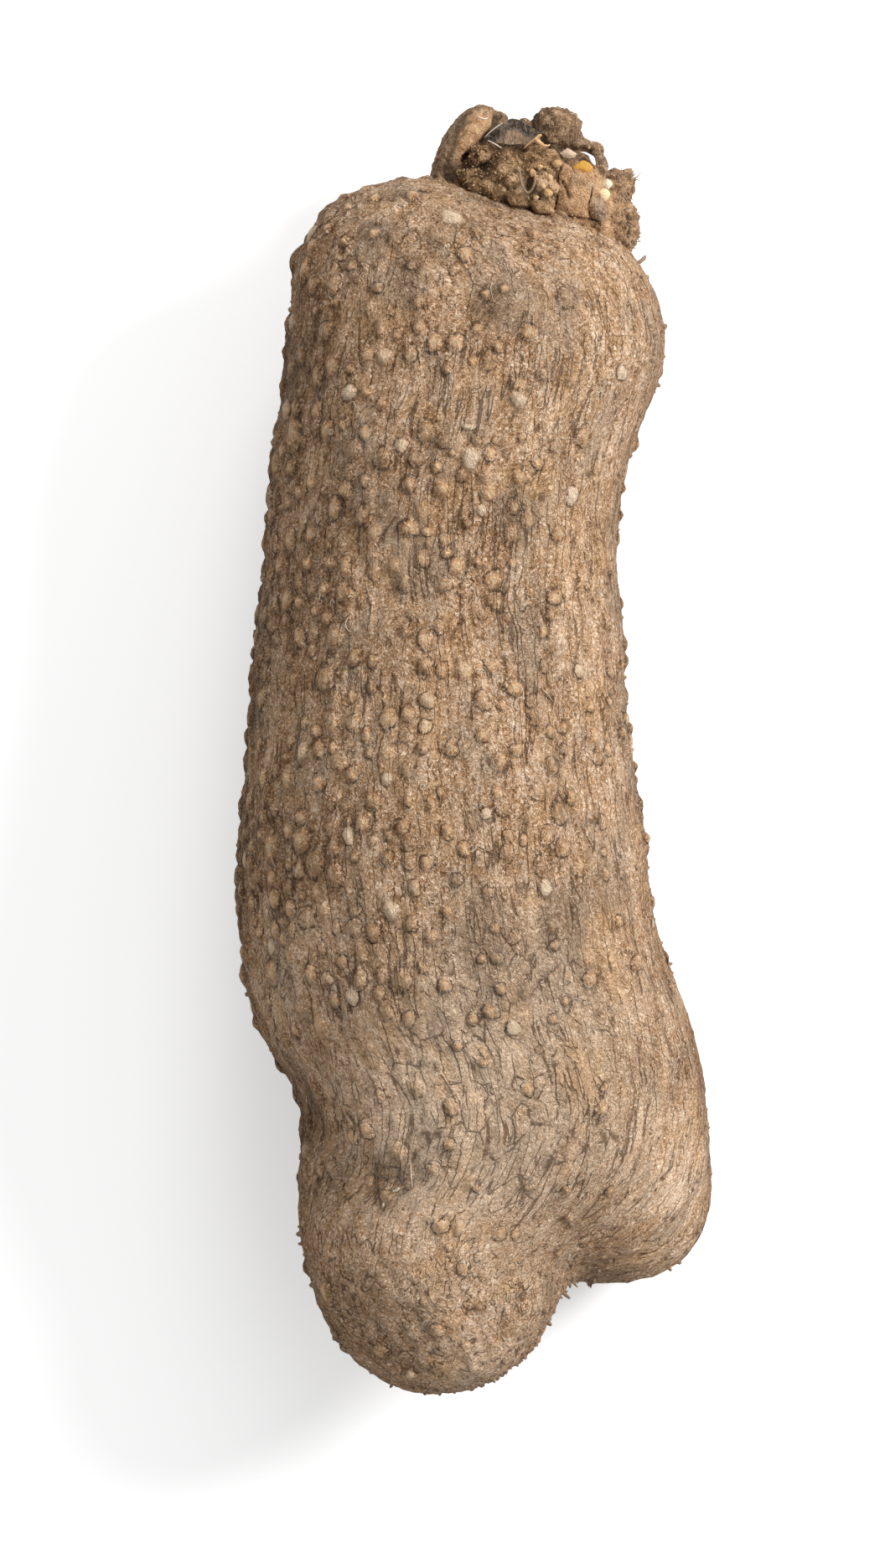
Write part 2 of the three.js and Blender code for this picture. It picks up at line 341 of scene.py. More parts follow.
def new_piece(name, points, faces, material):
    """A smooth mesh that rides on the yam's one body."""
    mesh = bpy.data.meshes.new(name)
    mesh.from_pydata(np.asarray(points).tolist(), [], faces)
    mesh.shade_smooth()
    mesh.materials.append(material)
    piece = bpy.data.objects.new(name, mesh)
    scene.collection.objects.link(piece)
    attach(piece, "root")
    return piece


def store(piece, name, values):
    """Keeps a number or a vector for each vertex, which the piece's material reads."""
    kind = "FLOAT_VECTOR" if np.ndim(values) == 2 else "FLOAT"
    attribute = piece.data.attributes.new(name, kind, "POINT")
    field = "vector" if kind == "FLOAT_VECTOR" else "value"
    attribute.data.foreach_set(field, np.asarray(values, np.float32).ravel())


def normals_of(mesh):
    """A mesh's vertex normals, one to a row."""
    normals = np.empty(len(mesh.vertices) * 3, np.float32)
    mesh.vertex_normals.foreach_get("vector", normals)
    return normals.reshape(-1, 3).astype(float)


def waves(points, size, seed):
    """Smooth random heights, about -1 to 1, in waves of a size for each axis."""
    return np.array([noise.noise(p) for p in (points / size + seed).tolist()])


def bark(start):
    """The bark's colour, fine relief and tone, from its grain and the vertex's own numbers."""
    grain = start.read("grain", "Vector")
    plates = start.read("plates")
    smooth = start.read("smooth")
    faded = start.read("faded")
    bare = start.read("bare")

    # The fibres wander as they run along the tuber, and curl over one another.
    bend = grain.cloud(0.06, 1.0, output="Color").plus((-0.5, -0.5, -0.5)).times((4.5, 1.5, 4.5))
    curl = grain.cloud(0.9, 2.0, output="Color").plus((-0.5, -0.5, -0.5))
    run = grain.plus(bend)
    wisp = run.plus(curl.times((2.0, 1.2, 2.0)))
    bands = run.times((1.0, 0.4, 1.0)).cloud(0.2, 2.0, 0.5) - 0.5
    cords = run.times((1.0, 0.12, 1.0)).cloud(0.6, 1.0, 0.5) - 0.5
    blots = wisp.times((1.0, 0.5, 1.0)).cloud(0.7, 2.0, 0.6) - 0.5
    fuzz = wisp.times((1.0, 0.7, 1.0)).cloud(1.6, 3.0, 0.8) - 0.5
    thread = wisp.times((1.0, 0.6, 1.0)).cloud(1.0, 1.5, 0.5) - 0.5
    hairs = abs(thread).step(0.075, 0.0)

    # Furrows open along the grain, and a net of cracks runs round the plates low on the body.
    here = grain.plus((31, 7, 5)).cloud(0.08, 2.0, 0.6)
    loose = run.plus(curl.times((0.8, 0.8, 0.8)))
    line = loose.times((1.0, 0.07, 1.0)).cloud(0.36, 1.0, 0.5) - 0.5
    furrow = abs(line).step(0.03, 0.004) * here.step(0.4, 0.52)
    split = loose.times((1.0, 0.16, 1.0)).cells(0.2, "DISTANCE_TO_EDGE")
    fissure = split.step(0.05, 0.005) * here.step(0.45, 0.35)
    net = loose.times((1.0, 0.7, 1.0)).cells(0.15, "DISTANCE_TO_EDGE")
    broken = grain.plus((3, 17, 29)).cloud(0.25, 1.0).step(0.38, 0.6)
    crack = net.step(0.042, 0.006) * (0.9 * plates + 1.4 * blots).step(0.35, 0.6) * broken
    cut = loose.times((1.0, 0.22, 1.0)).cloud(1.0, 1.0, 0.5) - 0.5
    nick = abs(cut).step(0.045, 0.0) * wisp.cloud(0.45, 1.0).step(0.56, 0.66)
    dark_line = furrow.most(fissure).most(crack).most(0.7 * nick)

    # Worn patches show the slate-grey layer under the outer bark, and others are tawny.
    patches = grain.times((1.0, 0.6, 1.0))
    worn = patches.plus((11, 4, 40)).cloud(0.06, 3.0, 0.65)
    grey = (worn + 0.35 * blots + 0.35 * bare).step(0.5, 0.66)
    tawny = patches.plus((5, 70, 21)).cloud(0.1, 3.0, 0.6) + 0.3 * blots

    coarse = 0.4 * cords + 0.6 * blots
    streaks = 0.6 * bands + coarse * (1 - 0.5 * smooth)
    tone = 0.54 + streaks * (1 - 0.4 * smooth) + 2.1 * fuzz + 0.36 * hairs
    # Painted light and shade lift or darken the tone.
    tone = tone + 0.3 * faded - 0.12 * bare
    brown = tone.ramp(
        (0.0, (0.08, 0.034, 0.012)),
        (0.3, (0.27, 0.133, 0.051)),
        (0.6, (0.54, 0.319, 0.170)),
        (1.0, (0.96, 0.725, 0.53)),
    )
    rust = tone.mix((0.16, 0.08, 0.032), (0.80, 0.47, 0.22))
    slate = tone.mix((0.09, 0.054, 0.030), (0.48, 0.368, 0.265))
    beige = tone.mix((0.22, 0.142, 0.085), (0.86, 0.648, 0.46))
    colour = (0.6 * plates).mix(brown, beige)
    colour = (0.45 * tawny.step(0.5, 0.64)).mix(colour, rust)
    colour = (0.5 * grey).mix(colour, slate)
    # Dark lines, then painted light and shade over the whole colour.
    colour = (0.7 * dark_line).mix(colour, (0.06, 0.024, 0.008)).times(1 + 0.4 * faded)

    height = (1.0 * cords + 1.1 * blots) * (1 - 0.5 * smooth) + 1.1 * fuzz + 0.4 * hairs
    return colour, height - 0.6 * dark_line, tone


bark_material, start = new_material("bark")
colour, height, _ = bark(start)
surface(start, colour, 0.86, height, 0.9, **{"Specular IOR Level": 0.25})

skin = new_piece("tuber_skin", points, skin_faces, bark_material)
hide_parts("tuber")
normals = normals_of(skin.data)

# Relief in millimetres: the body's slow lumps, the ridges of the bark, a crease where the toe lobe
# swelled away from the body, and the lobe's own rougher bark.
toe_crease = ((-50, -86), (-41, -99), (-30, -107), (-19, -111), (-8, -112), (5, -108), (14, -101))
crease_depth = 1.7
crease_width = 4.5


def path_distance(points, path):
    """How far points lie from a path, seen from above."""
    least = np.full(len(points), np.inf)
    for a, b in zip(np.array(path[:-1], float), np.array(path[1:], float)):
        share = np.clip((points[:, :2] - a) @ (b - a) / ((b - a) @ (b - a)), 0, 1)
        gap = points[:, :2] - a - share[:, None] * (b - a)
        least = np.minimum(least, np.linalg.norm(gap, axis=1))
    return least


lumps = 1.1 * waves(grain, 34, 3.1) + 0.55 * waves(grain, (15, 22, 15), 8.7)
ridge = 0.32 * waves(grain, (4.2, 26, 4.2), 1.3) + 0.28 * waves(grain, (2.6, 7, 2.6), 5.9)
knobbly = 0.42 * waves(grain, (2.2, 2.6, 2.2), 12.4)
relief = lumps + ridge + knobbly
x, y, z = (points / MM).T
facing = np.clip(normals[:, 2] * 2, 0, 1)
off_crease = path_distance(points / MM, toe_crease)
fading = np.clip((-22 - x) / 22, 0, 1)
relief -= crease_depth * np.exp(-((off_crease / crease_width) ** 2)) * facing * fading
left_of_toe = np.clip((-8 - x) / 25, 0, 1) * np.clip((-95 - y) / 12, 0, 1)
relief += 0.55 * left_of_toe * waves(points / MM, 4.5, 21.7)
relief += 0.3 * np.clip((-98 - y) / 14, 0, 1) * waves(points / MM, 3.0, 9.3)


# ------------------------------------------------------------------ root scars
# Each thin root that grew out of the tuber left a corky wart when it was pulled away. They stand in
# loose rows along the grain, each a low cap with a dark crack round it.

lanes = 62  # rows of scars round the tuber
scar_tries = 9000
elbow_room = 1.15  # how far apart scars keep, as a share of their radii
press_height = 2.5 * MM  # below this the tuber lay pressed flat, and its warts are worn away
small_below = -70 * MM  # from here to the lobes the warts are smaller


def scar_chance(place):
    """How likely a root grew here: the trunk's left bore the most, the lobes and right side few."""
    x, y, z = place / MM
    chance = 0.85 - 0.7 * min(max((x + 18) / 42, 0), 1)
    if y > 85:
        chance *= 0.4
    return chance * (1 - 0.85 * min(max((-45 - y) / 35, 0), 1))


old_scars = (  # the largest, each at its place seen from above: x, y, radius, longer, tone
    (-7.2, 137.6, 2.7, 0.95, 1.0),
    (-10.9, 132.2, 2.6, 1.0, 0.2),
    (-43.7, 47.5, 1.9, 1.0, 0.8),
    (-38.4, 47.6, 1.8, 1.0, 0.9),
    (-23.8, 100.6, 1.9, 1.0, 0.95),
    (9.9, 89.6, 2.0, 1.0, 0.97),
    (10.5, 93.6, 2.2, 0.8, 0.7),
    (-2.7, 81.8, 1.5, 0.5, 1.0),
    (-28.5, 92.0, 1.6, 1.0, 0.9),
    (-14.0, 61.0, 2.3, 1.3, 0.5),
    (-9.4, 66.5, 2.2, 1.2, 0.6),
    (3.4, 21.0, 1.9, 1.0, 0.9),
    (-27.0, -13.0, 2.0, 1.1, 0.9),
)
old_shade = 0.5
old_spin = 0.1
scars = []
taken = np.empty((0, 4))
for across, up, radius, longer, tone in old_scars:
    apart = np.hypot(points[:-2, 0] / MM - across, points[:-2, 1] / MM - up)
    k = int(np.argmin(np.where(normals[:-2, 2] > 0, apart, 99)))
    taken = np.concatenate([taken, [[*(points[k] / MM), elbow_room * radius]]])
    scars.append((k, radius, longer, tone, old_shade, old_spin))
crowds = waves(points[:-2] / MM, 24, 44.0)
for _ in range(scar_tries):
    row = int(rng.integers(6, rows - 6))
    lane = (rng.integers(lanes) + rng.normal(0, 0.17)) / lanes % 1
    column = int(np.searchsorted(angle[row], 2 * math.pi * lane)) % columns
    shrink = rng.random() > girth[row] / girth.max()
    k = row * columns + column
    place = points[k]
    side = max(0.0, -normals[k, 0])
    unlikely = rng.random() > scar_chance(place) * (0.75 + 0.8 * crowds[k])
    radius = float(np.clip(rng.lognormal(0.48, 0.25), 0.9, 2.5)) * (1 + 0.25 * side)
    longer = rng.uniform(0.95, 1.3) * (1 + 0.6 * side * rng.random())
    tone, shade, spin = rng.random(3)
    if shrink or unlikely or place[2] < press_height:
        continue
    if place[1] < small_below:
        radius *= 0.8
    gaps = np.linalg.norm(taken[:, :3] - place / MM, axis=1) - taken[:, 3] - elbow_room * radius
    if gaps.min() < 0:
        continue
    taken = np.concatenate([taken, [[*(place / MM), elbow_room * radius]]])
    scars.append((k, radius, longer, tone, shade, spin))

# Under each wart the bark swells a little and sinks beneath its cap, and painted shade darkens a
# ring round it.
nearest = KDTree(len(points))
for k, place in enumerate(points):
    nearest.insert(place, k)
nearest.balance()
swell = np.zeros(len(points))
sunk = np.zeros(len(points))
wart_ring_shade = np.zeros(len(points))
for k, radius, longer, *_ in scars:
    for _, i, _ in nearest.find_range(points[k], 3 * radius * longer * MM):
        apart = (points[i] - points[k]) / MM
        rho = math.hypot(math.hypot(apart[0], apart[2]), apart[1] / longer) / radius
        swell[i] = max(swell[i], math.exp(-(rho**2) / 2.2))
        sunk[i] = max(sunk[i], min(max((1.45 - rho) / 0.3, 0), 1))
        wart_ring_shade[i] = max(wart_ring_shade[i], min(max((2.1 - rho) / 0.7, 0), 1))
relief += (0.8 + 0.2 * waves(grain, 9, 31.0)) * swell
resting = points[:, 2] < press_height
relief = np.where(resting, relief * points[:, 2] / press_height, relief)
reference = points + normals * relief[:, None] * MM
reference[:, 2] = np.maximum(reference[:, 2], 0)
ground = BVHTree.FromPolygons([Vector(p) for p in reference], skin_faces)
cap_bed = 0.35  # how deep the skin lies under a cap
final = reference - normals * (cap_bed * sunk)[:, None] * MM
final[:, 2] = np.maximum(final[:, 2], 0)
skin.data.vertices.foreach_set("co", final.ravel())
skin.data.update()



def patch(across, up, size):
    """1 at a place on the upper side, and less the further from it."""
    return np.exp(-((x - across) ** 2 + (y - up) ** 2) / size**2) * facing


# Numbers that the bark reads: its cracked plates low on the body, its smooth and bare places, and
# painted light and shade, with a few paler or darker patches.
plates = np.exp(-((((x - 6) / 34) ** 2 + ((y + 82) / 42) ** 2) ** 2)) * facing
lobes = np.clip((-98 - y + 0.15 * np.abs(x + 8)) / 14, 0, 1)
smooth = np.maximum(plates, 0.6 * lobes)
bare_spots = ((6, 114, 8), (-19, 118, 7), (-15, 44, 6), (22, -45, 7), (0, -50, 6), (9, 60, 6))
bare = np.zeros(len(points))
for place in bare_spots:
    bare = np.maximum(bare, patch(*place))
painted_light_and_tone_spots = (  # painted light and shade over the lobes and edges, and a few paler or darker patches: x, y, size, how much
    (-22, -94, 24, 0.4),
    (-4, -112, 26, 0.5),
    (8, -76, 26, 0.1),
    (30, -115, 20, 0.1),
    (56, -112, 18, 0.6),
    (-52, -58, 20, 0.6),
    (-26, 135, 14, -0.1),
    (-2, 142, 14, -0.2),
    (4, 112, 8, -0.25),
    (-46, -100, 10, -0.5),
    (-30, -160, 18, -0.3),
    (-2, -160, 12, 0.4),
    (-50, 106, 12, -0.6),
    (-22, 50, 10, 0.3),
    (-46, 0, 20, 0.15),
    (-10, -142, 26, 0.15),
    (-21.8, -110.8, 4.8, -0.28),
    (48, -134, 18, 0.35),
    (35, -132, 16, -0.4),
)
# Painted light and shade: the bark darker on the steep sides and towards the left and right edges,
# darker in the toe crease and between the ridges, and paler on the ridges.
faded = 0.5 * (facing - 1)
faded -= 0.3 * np.clip((x - 52) / 8, 0, 1) + 0.28 * np.clip((-30 - x) / 25, 0, 1)
for *place, amount in painted_light_and_tone_spots:
    faded += amount * patch(*place)
faded -= 0.3 * np.exp(-((off_crease / 3.0) ** 2)) * facing * fading
faded += 0.22 * np.clip((ridge + 0.5 * knobbly) / 0.45, -1, 1) * (1 - swell) - 0.2 * wart_ring_shade
skin_numbers = {"plates": plates, "smooth": smooth, "faded": faded, "bare": bare}
store(skin, "grain", grain)
for name, values in skin_numbers.items():
    store(skin, name, values)
normals = normals_of(skin.data)

# The caps: rings of points dropped on the skin. A ring has its share of the wart's radius, and of
# the cap's height, or, where that is less than 0, how far under the skin it lies.
cap_rings = ((0.3, 0.97), (0.6, 0.8), (0.85, 0.5), (1.05, 0.2), (1.25, 0.0), (1.5, -0.3))
sectors = 16
lift_off = 4  # how far above the skin a cap's points are dropped from
cap_points = []
cap_faces = []
cap_grain = []
cap_numbers = []
for k, radius, longer, tone, shade, spin in scars:
    out = Vector(normals[k])
    length_way = Vector((0, 1, 0)) - out * out.y
    length_way.normalize()
    cross_way = length_way.cross(out)
    height = radius * (0.26 + 0.22 * shade)
    first = len(cap_points)
    centre = Vector(reference[k])
    wobble = []
    for s in range(sectors):
        t = 2 * math.pi * s / sectors
        wobble.append(1 + 0.07 * math.sin(3 * t + 9 * spin) + 0.09 * math.sin(2 * t + 31 * shade))
    spots = [(0.0, 0.0, 0.0, 1.05)]
    for rho, rise in cap_rings:
        for s in range(sectors):
            t = 2 * math.pi * s / sectors
            reach_out = radius * rho * wobble[s]
            spots.append((reach_out * math.cos(t), reach_out * longer * math.sin(t), rho, rise))
    for across, up, rho, rise in spots:
        above = centre + (cross_way * across + length_way * up + out * lift_off) * MM
        hit, _, face, _ = ground.ray_cast(above, -out, (2 * lift_off + 1) * MM)
        if hit is None:
            hit, _, face, _ = ground.find_nearest(above - out * lift_off * MM)
        lift = height * rise * (0.8 + 0.4 * noise.noise(hit / MM)) if rise > 0 else rise
        spot = hit + out * lift * MM
        spot.z = max(spot.z, 0)
        cap_points.append(spot)
        corners = skin_faces[face]
        shares = np.array(poly_3d_calc([Vector(reference[i]) for i in corners], hit))
        here = {name: shares @ values[corners] for name, values in skin_numbers.items()}
        cap_numbers.append({"rho": rho, "tone": tone, "spin": spin, **here})
        cap_grain.append(shares @ grain[corners])
    for s in range(sectors):
        e = (s + 1) % sectors
        cap_faces.append((first, first + 1 + s, first + 1 + e))
        for r in range(len(cap_rings) - 1):
            a, b = first + 1 + r * sectors, first + 1 + (r + 1) * sectors
            cap_faces.append((a + s, b + s, b + e, a + e))

cork_material, start = new_material("cork_caps")
colour, height, fine = bark(start)
rho = start.read("rho")  # 0 at a wart's middle, 1 at its edge
strength = start.read("tone").step(0.1, 0.7)
place = start.read("grain", "Vector")
mottle = place.cloud(1.5, 3.0, 0.7) - 0.5
ragged = rho + 0.9 * (place.cloud(0.9, 3.0, 0.65) - 0.5)
cream = start.read("tone").step(0.9, 0.99)
core = (ragged - 0.25 * cream).step(1.0, 0.4)
cork = (0.58 + 1.3 * (fine - 0.5) + 2.0 * mottle).mix((0.26, 0.115, 0.045), (0.98, 0.58, 0.29))
cork = cream.mix(cork, (0.55 + 2.2 * mottle).mix((0.74, 0.48, 0.29), (1.0, 0.81, 0.60)))
cork = (0.6 * (rho + 1.6 * mottle).step(0.62, 0.12)).mix(cork, (1.0, 0.78, 0.52))
# Painted shade: the caps darker on the tuber's steep sides and towards its left edge.
cork = cork.times(1 - 0.3 * start.read("faded").step(-0.35, -0.75))
colour = (core * (0.3 + 0.58 * strength + 0.1 * cream)).mix(colour, cork)
around = abs(ragged - 1.12).step(0.16, 0.02)
groove = around * place.cloud(0.5, 1.0).step(0.38, 0.55) * start.read("spin").step(0.05, 0.3)
colour = (groove * 0.8).mix(colour, (0.05, 0.024, 0.011))
height = height + 1.4 * mottle * core - 0.4 * groove
surface(start, colour, 0.8, height, 0.9, **{"Specular IOR Level": 0.3})

caps = new_piece("root_scars", cap_points, cap_faces, cork_material)
store(caps, "grain", cap_grain)
for name in cap_numbers[0]:
    store(caps, name, [numbers[name] for numbers in cap_numbers])


# ------------------------------------------------------------------ root stubs and root hairs
# Brown stubs of feeding roots, broken off short, stand out all round the sides, most of all in the
# notch between heel and toe. Pale hair roots cling to the skin, and a scrap of sacking to the toe.

stub_tries = 5200
hair_tries = 210
hair_count = 70


def along_curve(corners, count):
    """Places along a smooth curve through the corners, each of which may carry other numbers."""
    corners = np.array(corners, float)
    before = 2 * corners[:1] - corners[1:2]
    after = 2 * corners[-1:] - corners[-2:-1]
    padded = np.concatenate([before, corners, after])
    spots = np.linspace(0, len(corners) - 1, count)
    i = np.minimum(spots.astype(int), len(corners) - 2)
    t = (spots - i)[:, None]
    a, b, c, d = (padded[i + k] for k in range(4))
    bend = (2 * a - 5 * b + 4 * c - d) * t**2 + (3 * b - a - 3 * c + d) * t**3
    return (2 * b + (c - a) * t + bend) / 2


def strand(corners, count, sides, squash=1.0):
    """Points and faces of a strand along (x, y, z, radius) corners, with closed ends."""
    line = along_curve(corners, count)
    line[:, 3] = np.maximum(line[:, 3], 0.02)
    ways = np.gradient(line[:, :3], axis=0)
    ways /= np.linalg.norm(ways, axis=1)[:, None]
    turns = 2 * math.pi * np.arange(sides) / sides
    across = np.cross(ways[0], (0.31, 0.2, 0.93))
    rings = []
    for place, way in zip(line, ways):
        across = across - way * (across @ way)
        across /= np.linalg.norm(across)
        up = np.cross(way, across)
        ring = np.cos(turns)[:, None] * across + squash * np.sin(turns)[:, None] * up
        rings.append(place[:3] + place[3] * ring)
    return np.concatenate([*rings, line[[0, -1], :3]]), grid_faces(count, sides)


def strand_piece(name, strands, material, slot, *nodes):
    """One piece made of strands, each (points, faces), which may take the place of CAD nodes."""
    points = []
    faces = []
    for strand_points, strand_faces in strands:
        first = len(points)
        points += strand_points.tolist()
        faces += [[first + n for n in face] for face in strand_faces]
    piece = new_piece(name, np.array(points) * MM, faces, material)
    store(piece, "grain", points)
    for node in nodes:
        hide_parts(node)
    return piece


def strand_material(name, dark, light, roughness):
    """A dry root or fibre, streaked between its dark and its light."""
    material, start = new_material(name)
    place = start.read("grain", "Vector")
    streaks = place.cloud(2.6, 3.0, 0.7) - 0.5
    rings = place.cloud(0.8, 2.0, 0.5) - 0.5
    colour = (0.55 + 1.6 * streaks + 0.8 * rings).mix(dark, light)
    surface(start, colour, roughness, streaks, 0.4)
    return material


stub_look = strand_material("root_stub", (0.10, 0.062, 0.036), (0.46, 0.31, 0.19), 0.85)
hair_look = strand_material("hair_root", (0.46, 0.34, 0.22), (0.92, 0.79, 0.62), 0.7)

stubs = []
for _ in range(stub_tries):
    k = int(rng.integers(len(points) - 2))
    place = points[k] / MM
    length = rng.uniform(0.2, 0.55)
    thick = rng.uniform(0.4, 0.8)
    stray = rng.normal(0, 0.25, 3)
    chance = rng.random()
    in_notch = math.hypot(place[0] - 28, place[1] + 133) < 17 and place[2] < 40
    if in_notch:  # sheltered, so they are whole and slender
        length *= 3
        thick *= 0.6
    off_side = place[2] < 4 or place[1] > 135 or normals[k, 2] > 0.55
    if off_side or (chance > 0.35 and not in_notch):
        continue
    root = reference[k] / MM - 0.5 * normals[k]
    way = normals[k] + stray
    middle = root + (0.5 + 0.6 * length) * way
    tip = root + (0.5 + length) * way + 0.3 * stray
    bulge = [(*root, 1.4 * thick), (*middle, thick), (*tip, 0.6 * thick)]
    stubs.append(strand(bulge, 5, 6))
strand_piece("root_stubs", stubs, stub_look, "tuber_skin")


def hair_root(x, y, heading, curl, length, thick):
    """A hair that lies on the skin from a place seen from above, curling as it goes."""
    spot = Vector((x, y, 100)) * MM
    hit = ground.ray_cast(spot, Vector((0, 0, -1)))[0]
    corners = []
    steps_on = 9
    for n in range(steps_on):
        place, out, _, _ = ground.find_nearest(hit)
        lift = 0.12 + 0.25 * math.sin(math.pi * n / (steps_on - 1))
        shrink = 1 if 0 < n < steps_on - 1 else 0.5
        corners.append((*(place / MM + out * lift), thick * shrink))
        stride = Vector((math.cos(heading), math.sin(heading), 0)) * length / steps_on * MM
        hit = place + stride
        heading += curl
    return strand(corners, 30, 6)


# The plainest hairs, each at its own place, then loose ones all over.
hairs = [
    hair_root(-41.5, 38.2, 0.3, 0.35, 5.0, 0.14),
    hair_root(-38.0, 36.8, 2.0, -0.5, 4.5, 0.12),
    hair_root(7.5, 16.5, 0.4, -0.32, 9.0, 0.12),
    hair_root(11.5, 12.5, 2.6, 0.45, 7.0, 0.10),
    hair_root(-17.4, -107.0, -1.6, 0.02, 7.5, 0.2),
    hair_root(-22.3, -114.2, 0.2, 0.1, 3.0, 0.36),
    hair_root(-24.6, -118.5, 0.9, 0.05, 1.5, 0.3),
]
for _ in range(hair_tries):
    k = int(rng.integers(len(points) - 2))
    heading = rng.uniform(0, 2 * math.pi)
    curl = rng.normal(0, 0.4)
    length = rng.uniform(2.0, 6.5)
    thick = rng.uniform(0.06, 0.11)
    if normals[k, 2] > 0.25 and points[k, 1] < 0.135 and len(hairs) < hair_count:
        hairs.append(hair_root(*points[k, :2] / MM, heading, curl, length, thick))
strand_piece("hair_roots", hairs, hair_look, "tuber_skin")

# A scrap of dark sacking, a few crossed threads, sticks to the upper edge of the toe lobe.
sacking_look = strand_material("sacking", (0.06, 0.042, 0.028), (0.28, 0.2, 0.14), 0.85)
threads = [
    hair_root(-26.6, -106.2, -1.58, 0.01, 15.0, 0.2),
    hair_root(-24.2, -107.8, -1.56, 0.0, 7.0, 0.17),
    hair_root(-22.0, -103.0, -1.55, 0.0, 11.5, 0.2),
    hair_root(-19.9, -107.0, -1.6, 0.0, 7.0, 0.2),
    hair_root(-27.6, -107.3, 0.05, -0.01, 10.5, 0.17),
    hair_root(-26.9, -110.5, 0.02, 0.01, 9.6, 0.2),
    hair_root(-26.6, -113.2, -0.03, 0.02, 8.5, 0.2),
]
strand_piece("sacking_scrap", threads, sacking_look, "tuber_skin")


# ------------------------------------------------------------------ crown
# The woody base of last season's stems: knobs that grew together on the tuber's upper end. The horn
# on the left and the face on the right are worn smooth; the bud and the ears are ragged with fibre.

crown_pitch = 0.42  # side of a facet, in millimetres like all the measures here
crown_room = ((-14, 125, 8.5), (46, 173, 51.5))  # the box in which the knobs are looked for
crease_fill = 1.3
knobs = (  # centre, radii, lean in degrees, raggedness, and how tan and how grey the wood is
    ((14.8, 138.7, 31), (22, 13, 17), -12, 0.4, 0.5, 0.1),
    ((-1.7, 156.8, 34), (8.8, 15.2, 11), -17, 0.28, 1.0, 0.0),
    ((-6.9, 156.2, 33.4), (4.3, 12.4, 10.2), -21, 0.5, 0.0, 0.15),
    ((-4.9, 149.6, 37), (5.2, 4.4, 6.4), 0, 0.6, 0.0, 0.0),
    ((8.8, 152.7, 34), (11, 11, 12), 0, 0.6, 0.0, 0.3),
    ((20.8, 165.0, 32), (6.8, 6.3, 6.8), 0, 0.6, 0.22, 0.1),
    ((19.5, 156.7, 31), (6, 7, 7), 10, 0.6, 0.1, 0.3),
    ((28.1, 154.1, 33), (6.3, 8, 9), 24, 0.45, 0.3, 0.5),
    ((27.5, 160.4, 40.2), (3.2, 1.5, 2.4), -4, 0.35, 0.35, 0.4),
    ((31.3, 159.0, 39.6), (2.0, 2.1, 2.6), -30, 0.35, 0.35, 0.4),
    ((32.7, 155.4, 38.6), (1.6, 3.4, 2.8), 12, 0.4, 0.2, 0.5),
    ((26.0, 145.2, 37), (9.5, 10.5, 12.5), 20, 0.16, 1.0, 0.0),
    ((22.5, 151.6, 46.2), (2.7, 3.0, 2.6), 0, 0.16, 0.75, 0.25),
    ((25.8, 149.6, 47.4), (2.1, 2.2, 2.2), 0, 0.16, 0.6, 0.5),
    ((28.7, 147.6, 46.4), (2.4, 2.6, 2.2), 0, 0.16, 0.6, 0.5),
    ((31.3, 142.7, 44), (2.6, 4.2, 4.5), 10, 0.25, 0.4, 0.85),
    ((37.3, 150.3, 32), (4.5, 4.3, 5.5), 0, 0.75, 0.5, 0.0),
    ((39.9, 153.0, 32.5), (1.2, 2.3, 1.5), -25, 0.35, 0.4, 0.0),
    ((36.1, 140.2, 33), (6.6, 8.9, 9), 12, 0.75, 0.6, 0.0),
    ((32.6, 137.9, 42), (2.6, 2.6, 4.5), -20, 0.3, 0.8, 0.0),
    ((33.5, 135.6, 42.6), (2.1, 2.1, 3.6), -20, 0.2, 1.3, 0.0),
    ((5.8, 149.7, 20), (10, 12, 9), 15, 0.8, 0.2, 0.2),
    ((26.8, 149.7, 19), (10, 11, 9), -10, 0.8, 0.2, 0.2),
    ((0.7, 156.9, 44.4), (2.5, 2.6, 3.2), 0, 0.3, 1.05, 0.0),
    ((6.6, 166.7, 35), (1.7, 3, 2), 8, 0.3, 0.2, 0.3),
    ((12.2, 165.3, 36), (2, 2.8, 2.2), -25, 0.3, 0.2, 0.3),
    ((27.0, 163.2, 33), (1.8, 0.8, 0.9), -25, 0.1, 0.0, 0.4),
)
hollows = (  # the bowl beside the face, and a hole at the foot of the horn
    ((28.0, 155.4, 47.4), (5.2, 3.6, 4.6), -28),
    ((-3.0, 156.0, 46), (1.6, 1.3, 4), 35),
)
# Lines over the crown seen from above: grooves in the horn and the lower ear, painted shade at the
# foot of the bud and in the heart, and cracks in and round the face.
horn_groove = (
    (-4.6, 167.2),
    (-5.7, 164.1),
    (-6.1, 161.2),
    (-6.6, 158.4),
    (-8.1, 155.5),
    (-9, 149.7),
)
horn_edge = ((5.3, 168), (4.6, 164.4), (2.7, 162.4), (1.5, 160.7), (-1.4, 158.8), (-3.1, 156.2))
bud_foot = ((15.7, 168.5), (15.4, 165.5), (16.8, 162.5), (19, 160))
heart = ((-6, 152), (-2.5, 153.4), (1.5, 152.5))
ear_groove = ((40.1, 141.6), (40.4, 138.7), (40.2, 135.8))
cracks = (
    (
        (30.5, 148.1),
        (30.1, 146),
        (29.3, 143.5),
        (29.2, 142),
        (30, 139.6),
        (31.6, 139.1),
        (32.4, 138.2),
    ),
    ((19.5, 140.8), (22.3, 140.5), (24.6, 140.3), (27.4, 139.7), (29.9, 139.6)),
    ((22.2, 154.2), (21.1, 151.8), (20.8, 146.6), (20.4, 142.4)),
    ((22.2, 149.6), (23.4, 147.4), (23.8, 145.2)),
    ((19.9, 154.4), (22.6, 155.4), (24.8, 153.9), (26.3, 151.8)),
)


